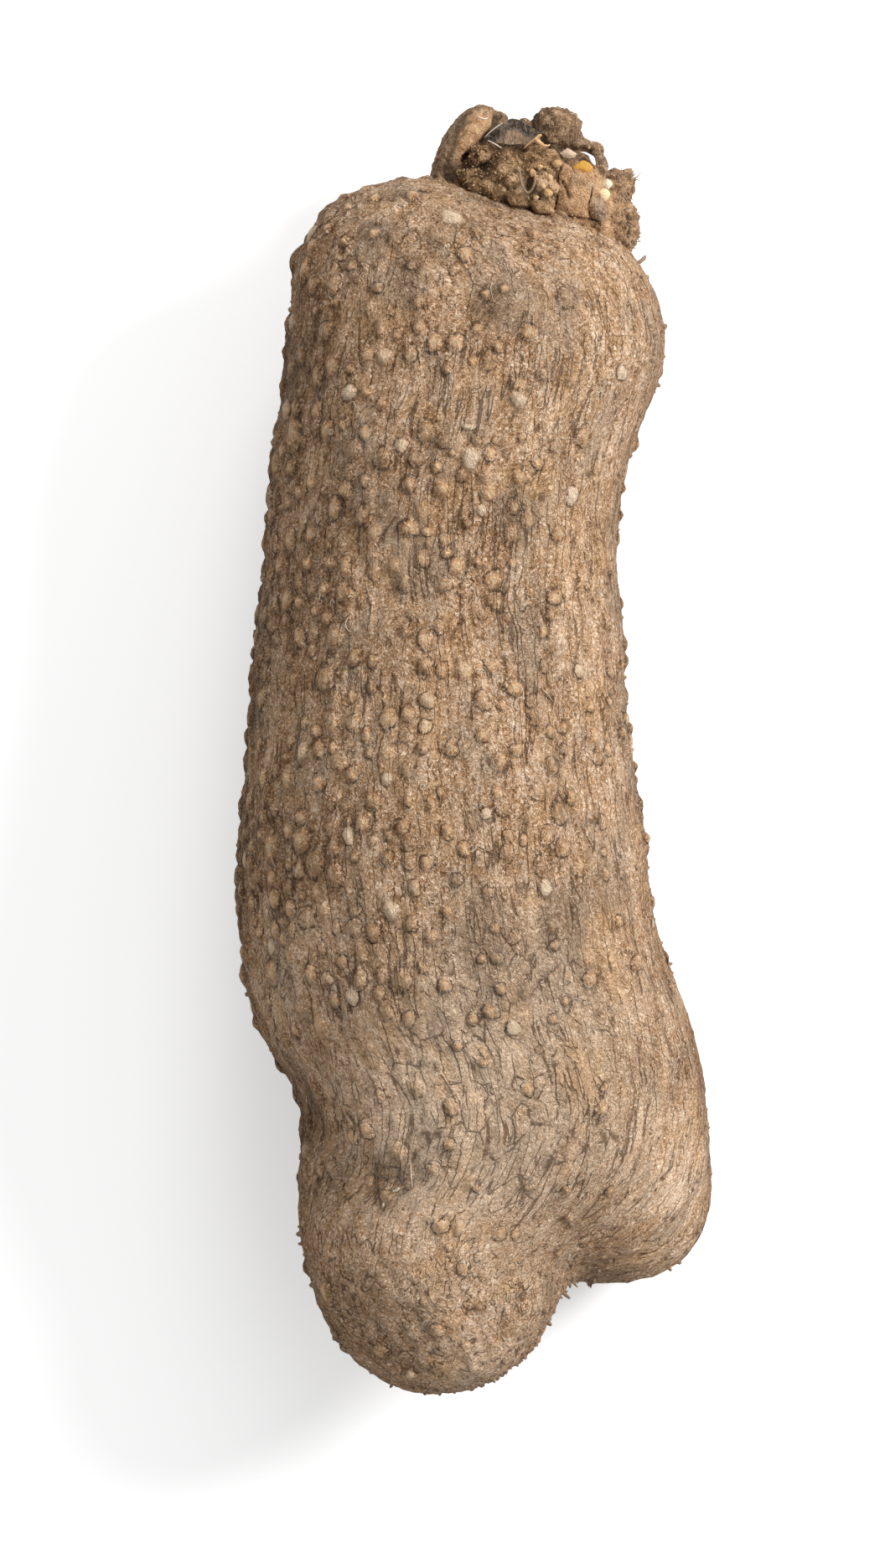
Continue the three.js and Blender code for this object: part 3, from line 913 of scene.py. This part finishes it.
def egg_distance(points, centre, radii, lean):
    """About how far points lie outside an egg that is turned by lean degrees about Z."""
    turned = math.radians(lean)
    x, y, z = (points - np.array(centre)).T
    side = x * math.cos(turned) + y * math.sin(turned)
    ahead = y * math.cos(turned) - x * math.sin(turned)
    share = np.stack([side, ahead, z]) / np.array(radii)[:, None]
    size = np.sqrt((share**2).sum(0)) + 1e-6
    slope = np.sqrt(((share / np.array(radii)[:, None]) ** 2).sum(0)) + 1e-6
    return size * (size - 1) / slope


def blend(a, b, width):
    """The lesser of two distances, with the crease between them filled in over a width."""
    near = np.maximum(width - np.abs(a - b), 0) / width
    return np.minimum(a, b) - near * near * width / 4


def net_surface(field, low, high, pitch):
    """Points and quads of the surface where a field of distances passes through zero."""
    axes = [np.arange(a, b, pitch) for a, b in zip(low, high)]
    corners = np.stack(np.meshgrid(*axes, indexing="ij"), -1)
    depth = field(corners.reshape(-1, 3)).reshape(corners.shape[:3])
    cells = [n - 1 for n in depth.shape]
    total = np.zeros((*cells, 3))
    count = np.zeros(cells)
    crossed = []
    for axis in range(3):
        turned = np.moveaxis(depth, axis, 0)
        near = turned[:-1]
        far = turned[1:]
        cut = (near < 0) != (far < 0)
        spot = np.moveaxis(corners, axis, 0)[:-1].copy()
        spot[..., axis] += pitch * near / np.where(cut, near - far, 1)
        spot *= cut[..., None]
        spots = np.moveaxis(total, axis, 0)
        counts = np.moveaxis(count, axis, 0)
        for p in (0, 1):
            for q in (0, 1):
                window = np.s_[:, p : p + counts.shape[1], q : q + counts.shape[2]]
                spots += spot[window]
                counts += cut[window]
        outward = (near < 0) != (axis == 1)
        crossed.append((cut[:, 1:-1, 1:-1], outward[:, 1:-1, 1:-1]))
    used = count > 0
    found = total[used] / count[used][:, None]
    number = np.cumsum(used).reshape(cells) - 1
    quads = []
    for axis, (cut, outward) in enumerate(crossed):
        n = np.moveaxis(number, axis, 0)
        ring = np.stack([n[:, :-1, :-1], n[:, 1:, :-1], n[:, 1:, 1:], n[:, :-1, 1:]], -1)
        quads.append(ring[cut & outward])
        quads.append(ring[cut & ~outward][:, ::-1])
    return largest_island(found, np.concatenate(quads))


def largest_island(points, quads):
    """The largest connected part of a mesh: a field can leave bubbles and crumbs."""
    label = np.arange(len(points))
    changed = True
    while changed:
        lower = label.copy()
        least = label[quads].min(1)
        for corner in range(4):
            np.minimum.at(lower, quads[:, corner], least)
        lower = lower[lower]
        changed = (lower != label).any()
        label = lower
    kept = quads[label[quads[:, 0]] == np.bincount(label).argmax()]
    used = np.unique(kept)
    number = np.zeros(len(points), int)
    number[used] = np.arange(len(used))
    return points[used], number[kept].tolist()


def crown_field(points):
    """About how far points lie outside the crown's wood."""
    depth = np.full(len(points), 99.0)
    for centre, radii, lean, *_ in knobs:
        depth = blend(depth, egg_distance(points, centre, radii, lean), crease_fill)
    for centre, radii, lean in hollows:
        depth = np.maximum(depth, -egg_distance(points, centre, radii, lean))
    return depth


wood_points, wood_faces = net_surface(crown_field, *crown_room, crown_pitch)

wood_material, start = new_material("crown_wood")
place = start.read("grain", "Vector")
tan = start.read("tan")
grey = start.read("grey")
curl = place.cloud(0.8, 2.0, output="Color").plus((-0.5, -0.5, -0.5)).times((2.4, 2.4, 2.4))
wisp = place.plus(curl)
blotch = place.cloud(0.4, 3.0, 0.6) - 0.5
grains = place.cloud(2.3, 3.0, 0.7) - 0.5
thread = wisp.times((1.0, 0.5, 1.0)).cloud(1.1, 1.0) - 0.5
fibres = abs(thread).step(0.07, 0.0)
tone = 0.5 + 1.3 * blotch + 2.3 * grains + 0.4 * fibres * tan.step(1.2, 0.2)
dim = [(0.0, (0.045, 0.023, 0.011)), (0.5, (0.25, 0.14, 0.07)), (1.0, (0.60, 0.40, 0.24))]
warm = [(0.0, (0.22, 0.105, 0.042)), (0.5, (0.64, 0.36, 0.178)), (1.0, (0.95, 0.64, 0.38))]
ash = [(0.0, (0.085, 0.055, 0.036)), (0.5, (0.32, 0.22, 0.15)), (1.0, (0.62, 0.47, 0.35))]
dark_wood, tan_wood, ash_wood = (tone.ramp(*stops) for stops in (dim, warm, ash))
colour = (tan + 1.1 * blotch).step(0.1, 0.9).mix(dark_wood, tan_wood)
colour = (grey + 0.6 * blotch).step(0.1, 1.0).mix(colour, ash_wood)
wander = 0.5 * (place.cloud(1.4, 2.0) - 0.5)
crack = (start.read("crack") + wander).step(0.24, 0.04)
# Painted shade: the grooves, the low pits, the foot of the bud and the heart darkened nearly to
# black.
stain = start.read("stain") + 0.5 * blotch
colour = (0.75 * stain.step(0.15, 0.9)).mix(colour, (0.05, 0.03, 0.018))
colour = (0.92 * crack).mix(colour, (0.03, 0.018, 0.01))
height = 1.2 * grains + 0.7 * blotch + 0.3 * fibres - 0.8 * crack
surface(start, colour, 0.8, height, 1.0, **{"Specular IOR Level": 0.3})

crown = new_piece("crown_wood", wood_points * MM, wood_faces, wood_material)
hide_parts("crown")
wood_normals = normals_of(crown.data)
nearness = []
for centre, radii, lean, *_ in knobs:
    nearness.append(np.exp(-np.clip(egg_distance(wood_points, centre, radii, lean), -2, 20) / 0.7))
nearness = np.array(nearness) / np.sum(nearness, axis=0)
ragged, tan, grey = (nearness.T @ [knob[k] for knob in knobs] for k in (3, 4, 5))
facing = np.clip(wood_normals[:, 2] * 3, 0, 1)
edge_on = np.clip((0.85 - wood_normals[:, 2]) / 0.6, 0, 1)
# Painted shade: the steep faces left of x 10 lose their tan and turn dark; beyond x 34 the wood is a
# little less tan.
tan = tan - 1.5 * edge_on * (wood_points[:, 0] < 10) - 0.12 * (wood_points[:, 0] > 34)


def near_path(path, depth, width):
    """Depth on a path over the crown, which falls away over a width to either side."""
    return depth * np.exp(-((path_distance(wood_points, path) / width) ** 2))


in_shade = near_path(bud_foot, 1.1, 1.5) + near_path(heart, 1.1, 2.6)
crack = np.min([path_distance(wood_points, path) for path in cracks], axis=0)
grooves = near_path(horn_groove, 0.5, 1.2) + near_path(horn_edge, 1.8, 0.9)
grooves += near_path(ear_groove, 0.8, 0.6)
grooves += 0.6 * np.exp(-((crack / 0.4) ** 2))
relief = ragged * (waves(wood_points, 1.5, 7.1) + 0.7 * waves(wood_points, 3.1, 4.4))
relief += 1.3 * ragged * np.abs(waves(wood_points, 1.0, 9.9)) + 0.12 * waves(wood_points, 0.8, 1.9)
# Painted shade in the low places of the relief.
pit_shade = np.clip(-1.5 * relief - 0.1, 0, 0.9) * (0.4 + ragged)
relief -= grooves * facing
wood_points = wood_points + wood_normals * relief[:, None]
crown.data.vertices.foreach_set("co", (wood_points * MM).ravel())
crown.data.update()
store(crown, "grain", wood_points)
store(crown, "tan", tan)
store(crown, "grey", grey)
store(crown, "crack", crack + 4 * (1 - facing))
store(crown, "stain", grooves * facing + pit_shade + in_shade)


# ------------------------------------------------------------------ soil
# Dried field soil that filled the hollow of the crown: crumbs of every size that stuck together,
# with loose grains on top. A lone crumb lies at the cake's foot.

soil_pitch = 0.36
soil_room = ((-8, 138, 38), (28, 163, 57))
soil_lumps = (  # the body of the cake: centre and radius
    ((-1.2, 149.2, 43.6), 4.2),
    ((3.3, 147.2, 44.6), 5.6),
    ((7.3, 151.2, 46.6), 5.6),
    ((11.3, 146.7, 46.6), 5.8),
    ((13.8, 152.7, 46.6), 5.0),
    ((16.0, 148.7, 47.1), 4.8),
    ((17.6, 155.5, 44.1), 4.3),
    ((19.6, 152.7, 45.4), 3.2),
    ((16.8, 145.3, 46.6), 3.7),
)
soil_edge = (  # the cake's outline seen from above
    (-5, 155.5),
    (-4.5, 150.2),
    (7, 144.8),
    (17.5, 141.8),
    (20.6, 146),
    (22, 155),
    (19, 158.5),
    (-1, 158.3),
)
cavity = ((13.7, 147.8, 53.6), (1.8, 3.8, 4.2), 0)
cavity_foot = (13.8, 145.4)
crumb_tries = 520
grain_tries = 700

down = Vector((0, 0, -1))
drop_height = 70  # above all of the crown
wood_top = BVHTree.FromPolygons([Vector(p) for p in wood_points], wood_faces)


def soil_body(points):
    """How far points lie outside the body of the cake."""
    depth = np.full(len(points), 99.0)
    for centre, radius in soil_lumps:
        depth = blend(depth, np.linalg.norm(points - np.array(centre), axis=1) - radius + 0.7, 1.5)
    return depth


def soil_top(x, y):
    """The height of the soil's body or the wood under a place, whichever is higher."""
    hit = wood_top.ray_cast(Vector((x, y, drop_height)), down)[0]
    heights = np.arange(hit.z if hit else 40, 56, 0.2)
    column = np.stack([np.full(len(heights), x), np.full(len(heights), y), heights], 1)
    within = soil_body(column) < 0
    return heights[within][-1] if within.any() else heights[0]


crumbs = []
for _ in range(crumb_tries):
    x, y = rng.uniform((-5, 141.5), (23, 159))
    radius = float(np.clip(rng.lognormal(0.0, 0.55), 0.4, 2.4))
    tone = rng.random()
    outside = False
    for a, b in zip(soil_edge, soil_edge[1:] + soil_edge[:1]):
        outside = outside or (b[0] - a[0]) * (y - a[1]) < (b[1] - a[1]) * (x - a[0])
    if not outside:
        crumbs.append((x, y, soil_top(x, y) + 0.1 * radius - 0.9, radius, tone))
crumbs = np.array(crumbs)


def soil_field(points):
    """How far points lie outside the cake with all its crumbs and its hole."""
    depth = soil_body(points)
    for x, y, z, radius, _ in crumbs:
        near = np.abs(points[:, 0] - x) < radius + 2
        near &= np.abs(points[:, 1] - y) < radius + 2
        near &= np.abs(points[:, 2] - z) < radius + 2
        apart = np.linalg.norm((points[near] - (x, y, z)) * (1, 1, 1.2), axis=1) - radius
        depth[near] = blend(depth[near], apart, 0.35)
    return np.maximum(depth, -egg_distance(points, *cavity))


soil_points, soil_faces = net_surface(soil_field, *soil_room, soil_pitch)
soil_material, start = new_material("dried_soil")
place = start.read("grain", "Vector")
fine = place.cloud(3.0, 3.0, 0.7) - 0.5
blotch = place.cloud(0.5, 2.0, 0.6) - 0.5
tone = 0.36 + 0.4 * start.read("tone") + 2.2 * fine + 1.0 * blotch
earth = tone.ramp(
    (0.0, (0.06, 0.03, 0.012)),
    (0.45, (0.36, 0.205, 0.098)),
    (0.8, (0.60, 0.38, 0.20)),
    (1.0, (0.85, 0.60, 0.38)),
)
# Painted shade: the gaps between crumbs and the hole in the cake darkened nearly to black.
gap = (start.read("gap") + 0.8 * blotch).step(0.2, 0.9)
colour = (0.7 * gap).mix(earth, (0.04, 0.02, 0.009))
sand = start.read("sand")
colour = sand.mix(colour, (0.3 + 1.2 * fine).mix((0.50, 0.30, 0.14), (0.80, 0.55, 0.30)))
surface(start, colour, 0.92, 1.2 * fine + 0.5 * blotch, 0.8, **{"Specular IOR Level": 0.2})


def soil_piece(name, points, faces, tone, sand, gap, node):
    piece = new_piece(name, points * MM, faces, soil_material)
    store(piece, "grain", points)
    store(piece, "gap", gap)
    store(piece, "tone", tone)
    store(piece, "sand", sand)
    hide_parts(node)


def roughened(points, faces, amount, size):
    """Points pushed out along their normals by noise."""
    mesh = bpy.data.meshes.new("trial")
    mesh.from_pydata(points.tolist(), [], faces)
    mesh.update()
    pushed = points + normals_of(mesh) * (amount * waves(points, size, 2.2))[:, None]
    bpy.data.meshes.remove(mesh)
    return pushed


# Painted shade in the gaps, where the surface sinks to the cake's body between crumbs.
soil_gap_shade = np.clip(0.9 - soil_body(soil_points) / 1.3, 0, 1)
soil_points = roughened(soil_points, soil_faces, 0.25, 0.8)
crumb_tree = KDTree(len(crumbs))
for k, crumb in enumerate(crumbs):
    crumb_tree.insert(crumb[:3], k)
crumb_tree.balance()
soil_tone = np.array([crumbs[crumb_tree.find(p)[1], 4] for p in soil_points.tolist()])
soil_tone += 0.5 * np.clip((soil_points[:, 0] - 4) / 5, -0.7, 1)
soil_tone -= 0.9 * np.clip((soil_points[:, 1] - 150.5) / 3, 0, 1)
# Painted shade in the hole at the foot of the cavity.
pit_distance = np.hypot(soil_points[:, 0] - cavity_foot[0], soil_points[:, 1] - cavity_foot[1])
soil_gap_shade = np.maximum(soil_gap_shade, 1.6 * np.exp(-((pit_distance / 1.9) ** 2)))
soil_sand = np.zeros(len(soil_points))

# Loose grains: small faceted bits, some of pale sand.
soil_bvh = BVHTree.FromPolygons([Vector(p) for p in soil_points], soil_faces)
ball = bmesh.new()
bmesh.ops.create_icosphere(ball, subdivisions=1, radius=1)
ball_points = np.array([v.co for v in ball.verts])
ball_faces = [[v.index for v in f.verts] for f in ball.faces]
ball.free()
soil_points = soil_points.tolist()
soil_tone = soil_tone.tolist()
soil_sand = soil_sand.tolist()
for _ in range(grain_tries):
    x, y = rng.uniform((-7, 138), (36, 160))
    size = rng.uniform(0.18, 0.5)
    pale = rng.random()
    shape = ball_points * rng.uniform(0.6, 1.2, 3) * rng.uniform(0.8, 1.2, (len(ball_points), 1))
    above = Vector((x, y, drop_height))
    hit = soil_bvh.ray_cast(above, down)[0]
    under = wood_top.ray_cast(above, down)[0]
    if not hit and (pale < 0.75 or not under or x < 10):
        continue
    if not hit or (under and under.z > hit.z):
        hit = under
    if not hit:
        continue
    first = len(soil_points)
    soil_points += (shape * size + np.array(hit) + (0, 0, 0.2 * size)).tolist()
    soil_faces += [[first + n for n in face] for face in ball_faces]
    soil_tone += [0.4 + pale] * len(shape)
    soil_sand += [1.0 if pale > 0.86 else 0.0] * len(shape)
soil_gap_shade = np.concatenate([soil_gap_shade, np.zeros(len(soil_points) - len(soil_gap_shade))])
soil_points = np.array(soil_points)
soil_piece("soil_cake_crumbs", soil_points, soil_faces, soil_tone, soil_sand, soil_gap_shade, "soil_cake")

crumb_pitch = 0.35
crumb_room = 6
low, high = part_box("soil_crumb")
crumb_centre = np.array((low + high) / 2) / MM
crumb_radii = np.array((high - low) / 2) / MM


def crumb_field(points):
    """About how far points lie outside the lone crumb."""
    return egg_distance(points, crumb_centre, crumb_radii * (1, 0.8, 0.9), -20)


ends = (crumb_centre - crumb_room, crumb_centre + crumb_room)
crumb_points, crumb_faces = net_surface(crumb_field, *ends, crumb_pitch)
crumb_points = roughened(crumb_points, crumb_faces, 0.7, 1.9)
crumb_tone = 0.5 + 0.5 * waves(crumb_points, 1.4, 6.6)
plain = np.zeros(len(crumb_points))
soil_piece("soil_crumb_lump", crumb_points, crumb_faces, crumb_tone, plain, plain, "soil_crumb")


# ------------------------------------------------------------------ stones
# Small field stones caught in the soil and on the crown: hard, with worn corners, each a colour of
# its own.

# How much of its node's box each kind of stone fills, and how far it lies off the box's centre.
grit_shape = ((0.8, 0.8, 0.8), (0, 0, 0))
cream_shape = ((1.9, 1.6, 1.1), (-0.45, 0, 0.7))
amber_shape = ((1.15, 1.85, 1.2), (0.2, -0.6, 0.1))
grey_shape = ((1.5, 0.95, 0.4), (0.8, 0.4, 0.7))
grit = ("grit", grit_shape, 0.2)
cream = ("cream_stone", cream_shape, 0.3)
stones = {  # slot, shape and gloss, then the stone's dark, its light and its corners
    "amber_stone": ("amber_stone", amber_shape, 0.6, (0.38, 0.15, 0.012), (0.78, 0.42, 0.06), 13),
    "cream_stone_round": (*cream, (0.62, 0.48, 0.25), (0.88, 0.72, 0.44), 40),
    "cream_stone_chip": (*cream, (0.66, 0.52, 0.34), (0.95, 0.83, 0.62), 9),
    "grey_stone": ("grit", grey_shape, 0.2, (0.36, 0.25, 0.16), (0.70, 0.53, 0.37), 5),
    "grit_stone_1": (*grit, (0.40, 0.21, 0.08), (0.70, 0.44, 0.21), 12),
    "grit_stone_2": (*grit, (0.38, 0.20, 0.08), (0.66, 0.42, 0.21), 11),
    "grit_stone_3": (*grit, (0.35, 0.19, 0.075), (0.60, 0.37, 0.17), 12),
    "grit_stone_4": (*grit, (0.44, 0.26, 0.11), (0.76, 0.50, 0.26), 10),
    "grit_stone_5": (*grit, (0.42, 0.26, 0.12), (0.70, 0.47, 0.27), 12),
    "grit_stone_6": (*grit, (0.42, 0.24, 0.09), (0.69, 0.44, 0.21), 14),
    "grit_stone_7": (*grit, (0.38, 0.23, 0.11), (0.64, 0.43, 0.25), 12),
    "grit_stone_8": (*grit, (0.22, 0.14, 0.08), (0.44, 0.30, 0.18), 12),
    "grit_stone_9": (*grit, (0.28, 0.18, 0.10), (0.50, 0.35, 0.22), 12),
}

for node, (slot, (swollen, moved), gloss, dark, light, corners) in stones.items():
    low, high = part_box(node)
    block = bmesh.new()
    for _ in range(corners):
        block.verts.new(Vector(rng.normal(size=3)).normalized())
    for axis in (Vector((1, 0, 0)), Vector((0, 1, 0)), Vector((0, 0, 1))):
        block.verts.new(axis)
        block.verts.new(-axis)
    bmesh.ops.convex_hull(block, input=block.verts[:])
    bmesh.ops.subdivide_edges(block, edges=block.edges[:], cuts=3, use_grid_fill=True)
    for _ in range(1 if slot == "grit" else 2):
        settings = {"factor": 0.5, "use_axis_x": True, "use_axis_y": True, "use_axis_z": True}
        bmesh.ops.smooth_vert(block, verts=block.verts[:], **settings)
    shape = np.array([v.co for v in block.verts])
    faces = [[v.index for v in f.verts] for f in block.faces]
    block.free()
    shape = shape * np.array((high - low) / 2) * swollen + np.array((low + high) / 2)
    shape += np.array(moved) * MM
    stone_material, start = new_material(node)
    place = start.read("grain", "Vector")
    fine = place.cloud(2.4, 3.0, 0.65) - 0.5
    specks = place.cells(2.6).step(0.3, 0.12)
    tone = 0.55 + 2.0 * fine - 0.35 * specks
    colour = tone.mix(dark, light)
    surface(start, colour, 0.62 - 0.3 * gloss, 0.8 * fine - 0.2 * specks, 0.5)
    piece = new_piece(node + "_worn", shape, faces, stone_material)
    store(piece, "grain", shape / MM)
    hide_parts(node)


# ------------------------------------------------------------------ papery scale and chalky flake
# The last leaf scale of the stem, a thin grey-brown skin folded like a tent over the crown's heart,
# with pale torn edges. Beside the amber stone lies a curled flake of white chalk.

scale_top = (
    (1.7, 161.4, 45.0),
    (4.3, 163.4, 46.0),
    (6.6, 165.2, 46.2),
    (8.8, 166.6, 45.6),
    (11.4, 165.9, 46.2),
    (14.6, 163.9, 46.4),
    (17.2, 161.9, 45.8),
    (19.3, 159.2, 44.4),
)
scale_foot = (
    (2.9, 160.2, 44.6),
    (5.1, 160.0, 46.4),
    (7.1, 159.6, 47.6),
    (9.1, 159.4, 48.0),
    (11.3, 159.6, 48.0),
    (13.7, 160.0, 47.4),
    (16.1, 159.8, 46.2),
    (18.8, 158.6, 44.2),
)
scale_across = 90  # points across the leaf, and from its top to its foot
scale_down = 40
top_line = along_curve(scale_top, scale_across)
foot_line = along_curve(scale_foot, scale_across)
share = np.linspace(0, 1, scale_down)[None, :, None]
sheet = top_line[:, None] * (1 - share) + foot_line[:, None] * share
sag = 1.1
sheet[..., 2] -= sag * np.sin(math.pi * share[..., 0])
sheet = sheet.reshape(-1, 3)
rim = np.minimum(share[..., 0] * np.linalg.norm(foot_line - top_line, axis=1)[:, None], 9).ravel()
folds = 0.7 * waves(sheet, (1.8, 3, 4), 3.3) + 0.35 * waves(sheet, (0.9, 1.5, 2), 5.5)
sheet[:, 2] += folds * np.clip(rim / 1.2, 0.25, 1)
leaf_thickness = 0.16
under = sheet - (0, 0, leaf_thickness)
count = len(sheet)
scale_faces = []
for i in range(scale_across - 1):
    for j in range(scale_down - 1):
        a = i * scale_down + j
        b = a + scale_down
        scale_faces.append((a, a + 1, b + 1, b))
        scale_faces.append((count + a, count + b, count + b + 1, count + a + 1))
border = [i * scale_down for i in range(scale_across)]
border += [(scale_across - 1) * scale_down + j for j in range(1, scale_down)]
border += [i * scale_down + scale_down - 1 for i in range(scale_across - 2, -1, -1)]
border += list(range(scale_down - 2, 0, -1))
for a, b in zip(border, border[1:] + border[:1]):
    scale_faces.append((a, b, count + b, count + a))
scale_points = np.concatenate([sheet, under])

scale_material, start = new_material("papery_scale")
place = start.read("grain", "Vector")
veins = place.times((1.0, 0.6, 0.6)).cloud(1.3, 3.0, 0.7) - 0.5
blotch = place.cloud(0.35, 2.0, 0.6) - 0.5
tone = 0.25 + 1.8 * veins + 1.6 * blotch
leaf = [(0.0, (0.028, 0.017, 0.010)), (0.5, (0.125, 0.085, 0.056)), (1.0, (0.32, 0.24, 0.17))]
middle = (start.read("rim") + 2.0 * blotch).step(2.2, 4.2)
thin = (0.5 + 1.6 * veins).mix((0.12, 0.065, 0.033), (0.42, 0.26, 0.15))
colour = (0.6 * middle).mix(tone.ramp(*leaf), thin)
crinkle = place.times((1.0, 0.5, 0.5)).cloud(0.55, 1.5, 0.5) - 0.5
crease_line = abs(crinkle).step(0.035, 0.0) * place.cloud(0.3, 1.0).step(0.42, 0.52)
colour = (0.6 * crease_line).mix(colour, (0.36, 0.28, 0.21))
torn = start.read("rim").step(0.2, 0.06) * place.cloud(0.6, 1.0).step(0.44, 0.56)
colour = (0.8 * torn).mix(colour, (0.42, 0.34, 0.26))
surface(start, colour, 0.7, 1.3 * veins + 0.5 * crease_line, 0.6)
leaf_piece = new_piece("papery_scale_leaf", scale_points * MM, scale_faces, scale_material)
store(leaf_piece, "grain", scale_points)
store(leaf_piece, "rim", np.concatenate([rim, rim]))
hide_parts("papery_scale")

chalk_material, start = new_material("chalk")
place = start.read("grain", "Vector")
fine = place.cloud(1.8, 3.0, 0.6) - 0.5
surface(start, (0.5 + 1.5 * fine).mix((0.70, 0.70, 0.76), (0.98, 0.97, 0.98)), 0.4, fine, 0.3)
flake_edge = [
    (27.3, 158.1, 42.6, 0.12),
    (28.4, 157.8, 42.9, 0.28),
    (29.5, 157.2, 43.0, 0.36),
    (30.2, 156.3, 42.9, 0.75),
    (30.6, 155.4, 42.6, 0.62),
    (31.1, 154.7, 42.2, 0.2),
]
flake = strand(flake_edge, 24, 12, 0.6)
strand_piece("chalky_flake_curl", [flake], chalk_material, "chalk", "chalky_flake")


# ------------------------------------------------------------------ dry roots and fibres
# Bits of plant that blew into the crown and stuck: a forked orange twig, a curled root over the
# hole in the soil, and thin pale straws. The stump of a crown root curls up at the lower ear.

twig_look = strand_material("dry_twig", (0.34, 0.14, 0.04), (0.88, 0.58, 0.27), 0.55)
root_look = strand_material("dry_root", (0.12, 0.07, 0.035), (0.42, 0.29, 0.18), 0.7)
pale_look = strand_material("pale_fibre", (0.62, 0.52, 0.40), (0.95, 0.88, 0.77), 0.5)
bark_root_look = strand_material("root_stump", (0.13, 0.085, 0.055), (0.48, 0.36, 0.25), 0.85)

stalk = [
    (12, 158.2, 48.3, 0.12),
    (13.6, 159.6, 48.9, 0.2),
    (15.2, 160.8, 49.3, 0.3),
    (16.2, 161.5, 49.4, 0.42),
    (16.8, 161.7, 49.2, 0.2),
]
strand_piece("forked_twig_stalk", [strand(stalk, 24, 10)], twig_look, "dry_root", "forked_twig")

body = [
    (15, 160.7, 49.2, 0.3),
    (15.8, 160.0, 49.6, 0.62),
    (16.5, 159.5, 49.6, 0.5),
    (17.4, 159.0, 49.4, 0.3),
    (18.4, 158.9, 49.2, 0.3),
    (19, 159.2, 49.0, 0.15),
]
spur = [(17.1, 159.2, 49.4, 0.28), (16.8, 158.5, 49.2, 0.25), (16.2, 158.1, 49.0, 0.12)]
fork = [strand(body, 28, 10), strand(spur, 12, 8)]
strand_piece("twig_fork_body", fork, twig_look, "dry_root", "twig_fork")

loop = [
    (11.3, 152.6, 54.0, 0.12),
    (11, 150.6, 54.6, 0.3),
    (11.4, 148.4, 54.7, 0.32),
    (12.2, 146.6, 54.5, 0.3),
    (13.3, 146.0, 54.2, 0.26),
    (14.5, 147.4, 54.6, 0.3),
    (15, 149.6, 54.8, 0.26),
    (14.6, 151.4, 54.4, 0.12),
]
strand_piece("root_loop_curl", [strand(loop, 44, 10)], root_look, "dry_root", "root_loop")

white = [(2.6, 160.5, 48.0, 0.1), (4.4, 159.5, 48.7, 0.16), (6.3, 158.3, 49.0, 0.12)]
strand_piece("white_fibre_straw", [strand(white, 20, 8)], pale_look, "fibre", "white_fibre")
pale = []
for x, y, thick in ((0.0, 167.6, 0.12), (1.1, 167.1, 0.2), (2.1, 167.0, 0.16), (2.6, 167.4, 0.1)):
    hit = wood_top.ray_cast(Vector((x, y, drop_height)), down)[0]
    pale.append((x, y, hit.z + 0.1, thick))
edge = [(1.8, 161.6, 46.3, 0.06), (4.2, 163.6, 47.0, 0.11), (6.4, 165.2, 46.8, 0.06)]
straws = [strand(pale, 18, 8), strand(edge, 24, 8)]
strand_piece("pale_fibre_straws", straws, pale_look, "fibre", "pale_fibre")

stump = [
    (40.2, 128.9, 37.6, 0.6),
    (41.8, 128.9, 38.8, 0.6),
    (43.2, 129.5, 39.2, 0.55),
    (44.2, 130.4, 39.1, 0.55),
    (44.6, 131.1, 39.0, 0.3),
]
strand_piece("crown_root_stump", [strand(stump, 26, 10)], bark_root_look, "dry_root", "crown_root")

# Ragged fibres that stand off the ears and the foot of the horn, and a few off the bud.
tuft_tries = 900
tuft_count = 150
tufts = []
for _ in range(tuft_tries):
    k = int(rng.integers(len(wood_points)))
    length = rng.uniform(0.7, 1.7)
    lean_out = rng.normal(0, 0.45, 3)
    curl_out = rng.normal(0, 0.35, 3)
    on_bud = wood_points[k, 1] > 160 and k % 4
    if ragged[k] < 0.5 or wood_points[k, 2] < 22 or on_bud or len(tufts) >= tuft_count:
        continue
    root = wood_points[k] - 0.2 * wood_normals[k]
    way = wood_normals[k] + lean_out
    middle = root + way * length * 0.5
    tip = root + (way + curl_out) * length
    tufts.append(strand([(*root, 0.24), (*middle, 0.16), (*tip, 0.05)], 6, 5))
strand_piece("crown_tufts", tufts, bark_root_look, "crown_wood")
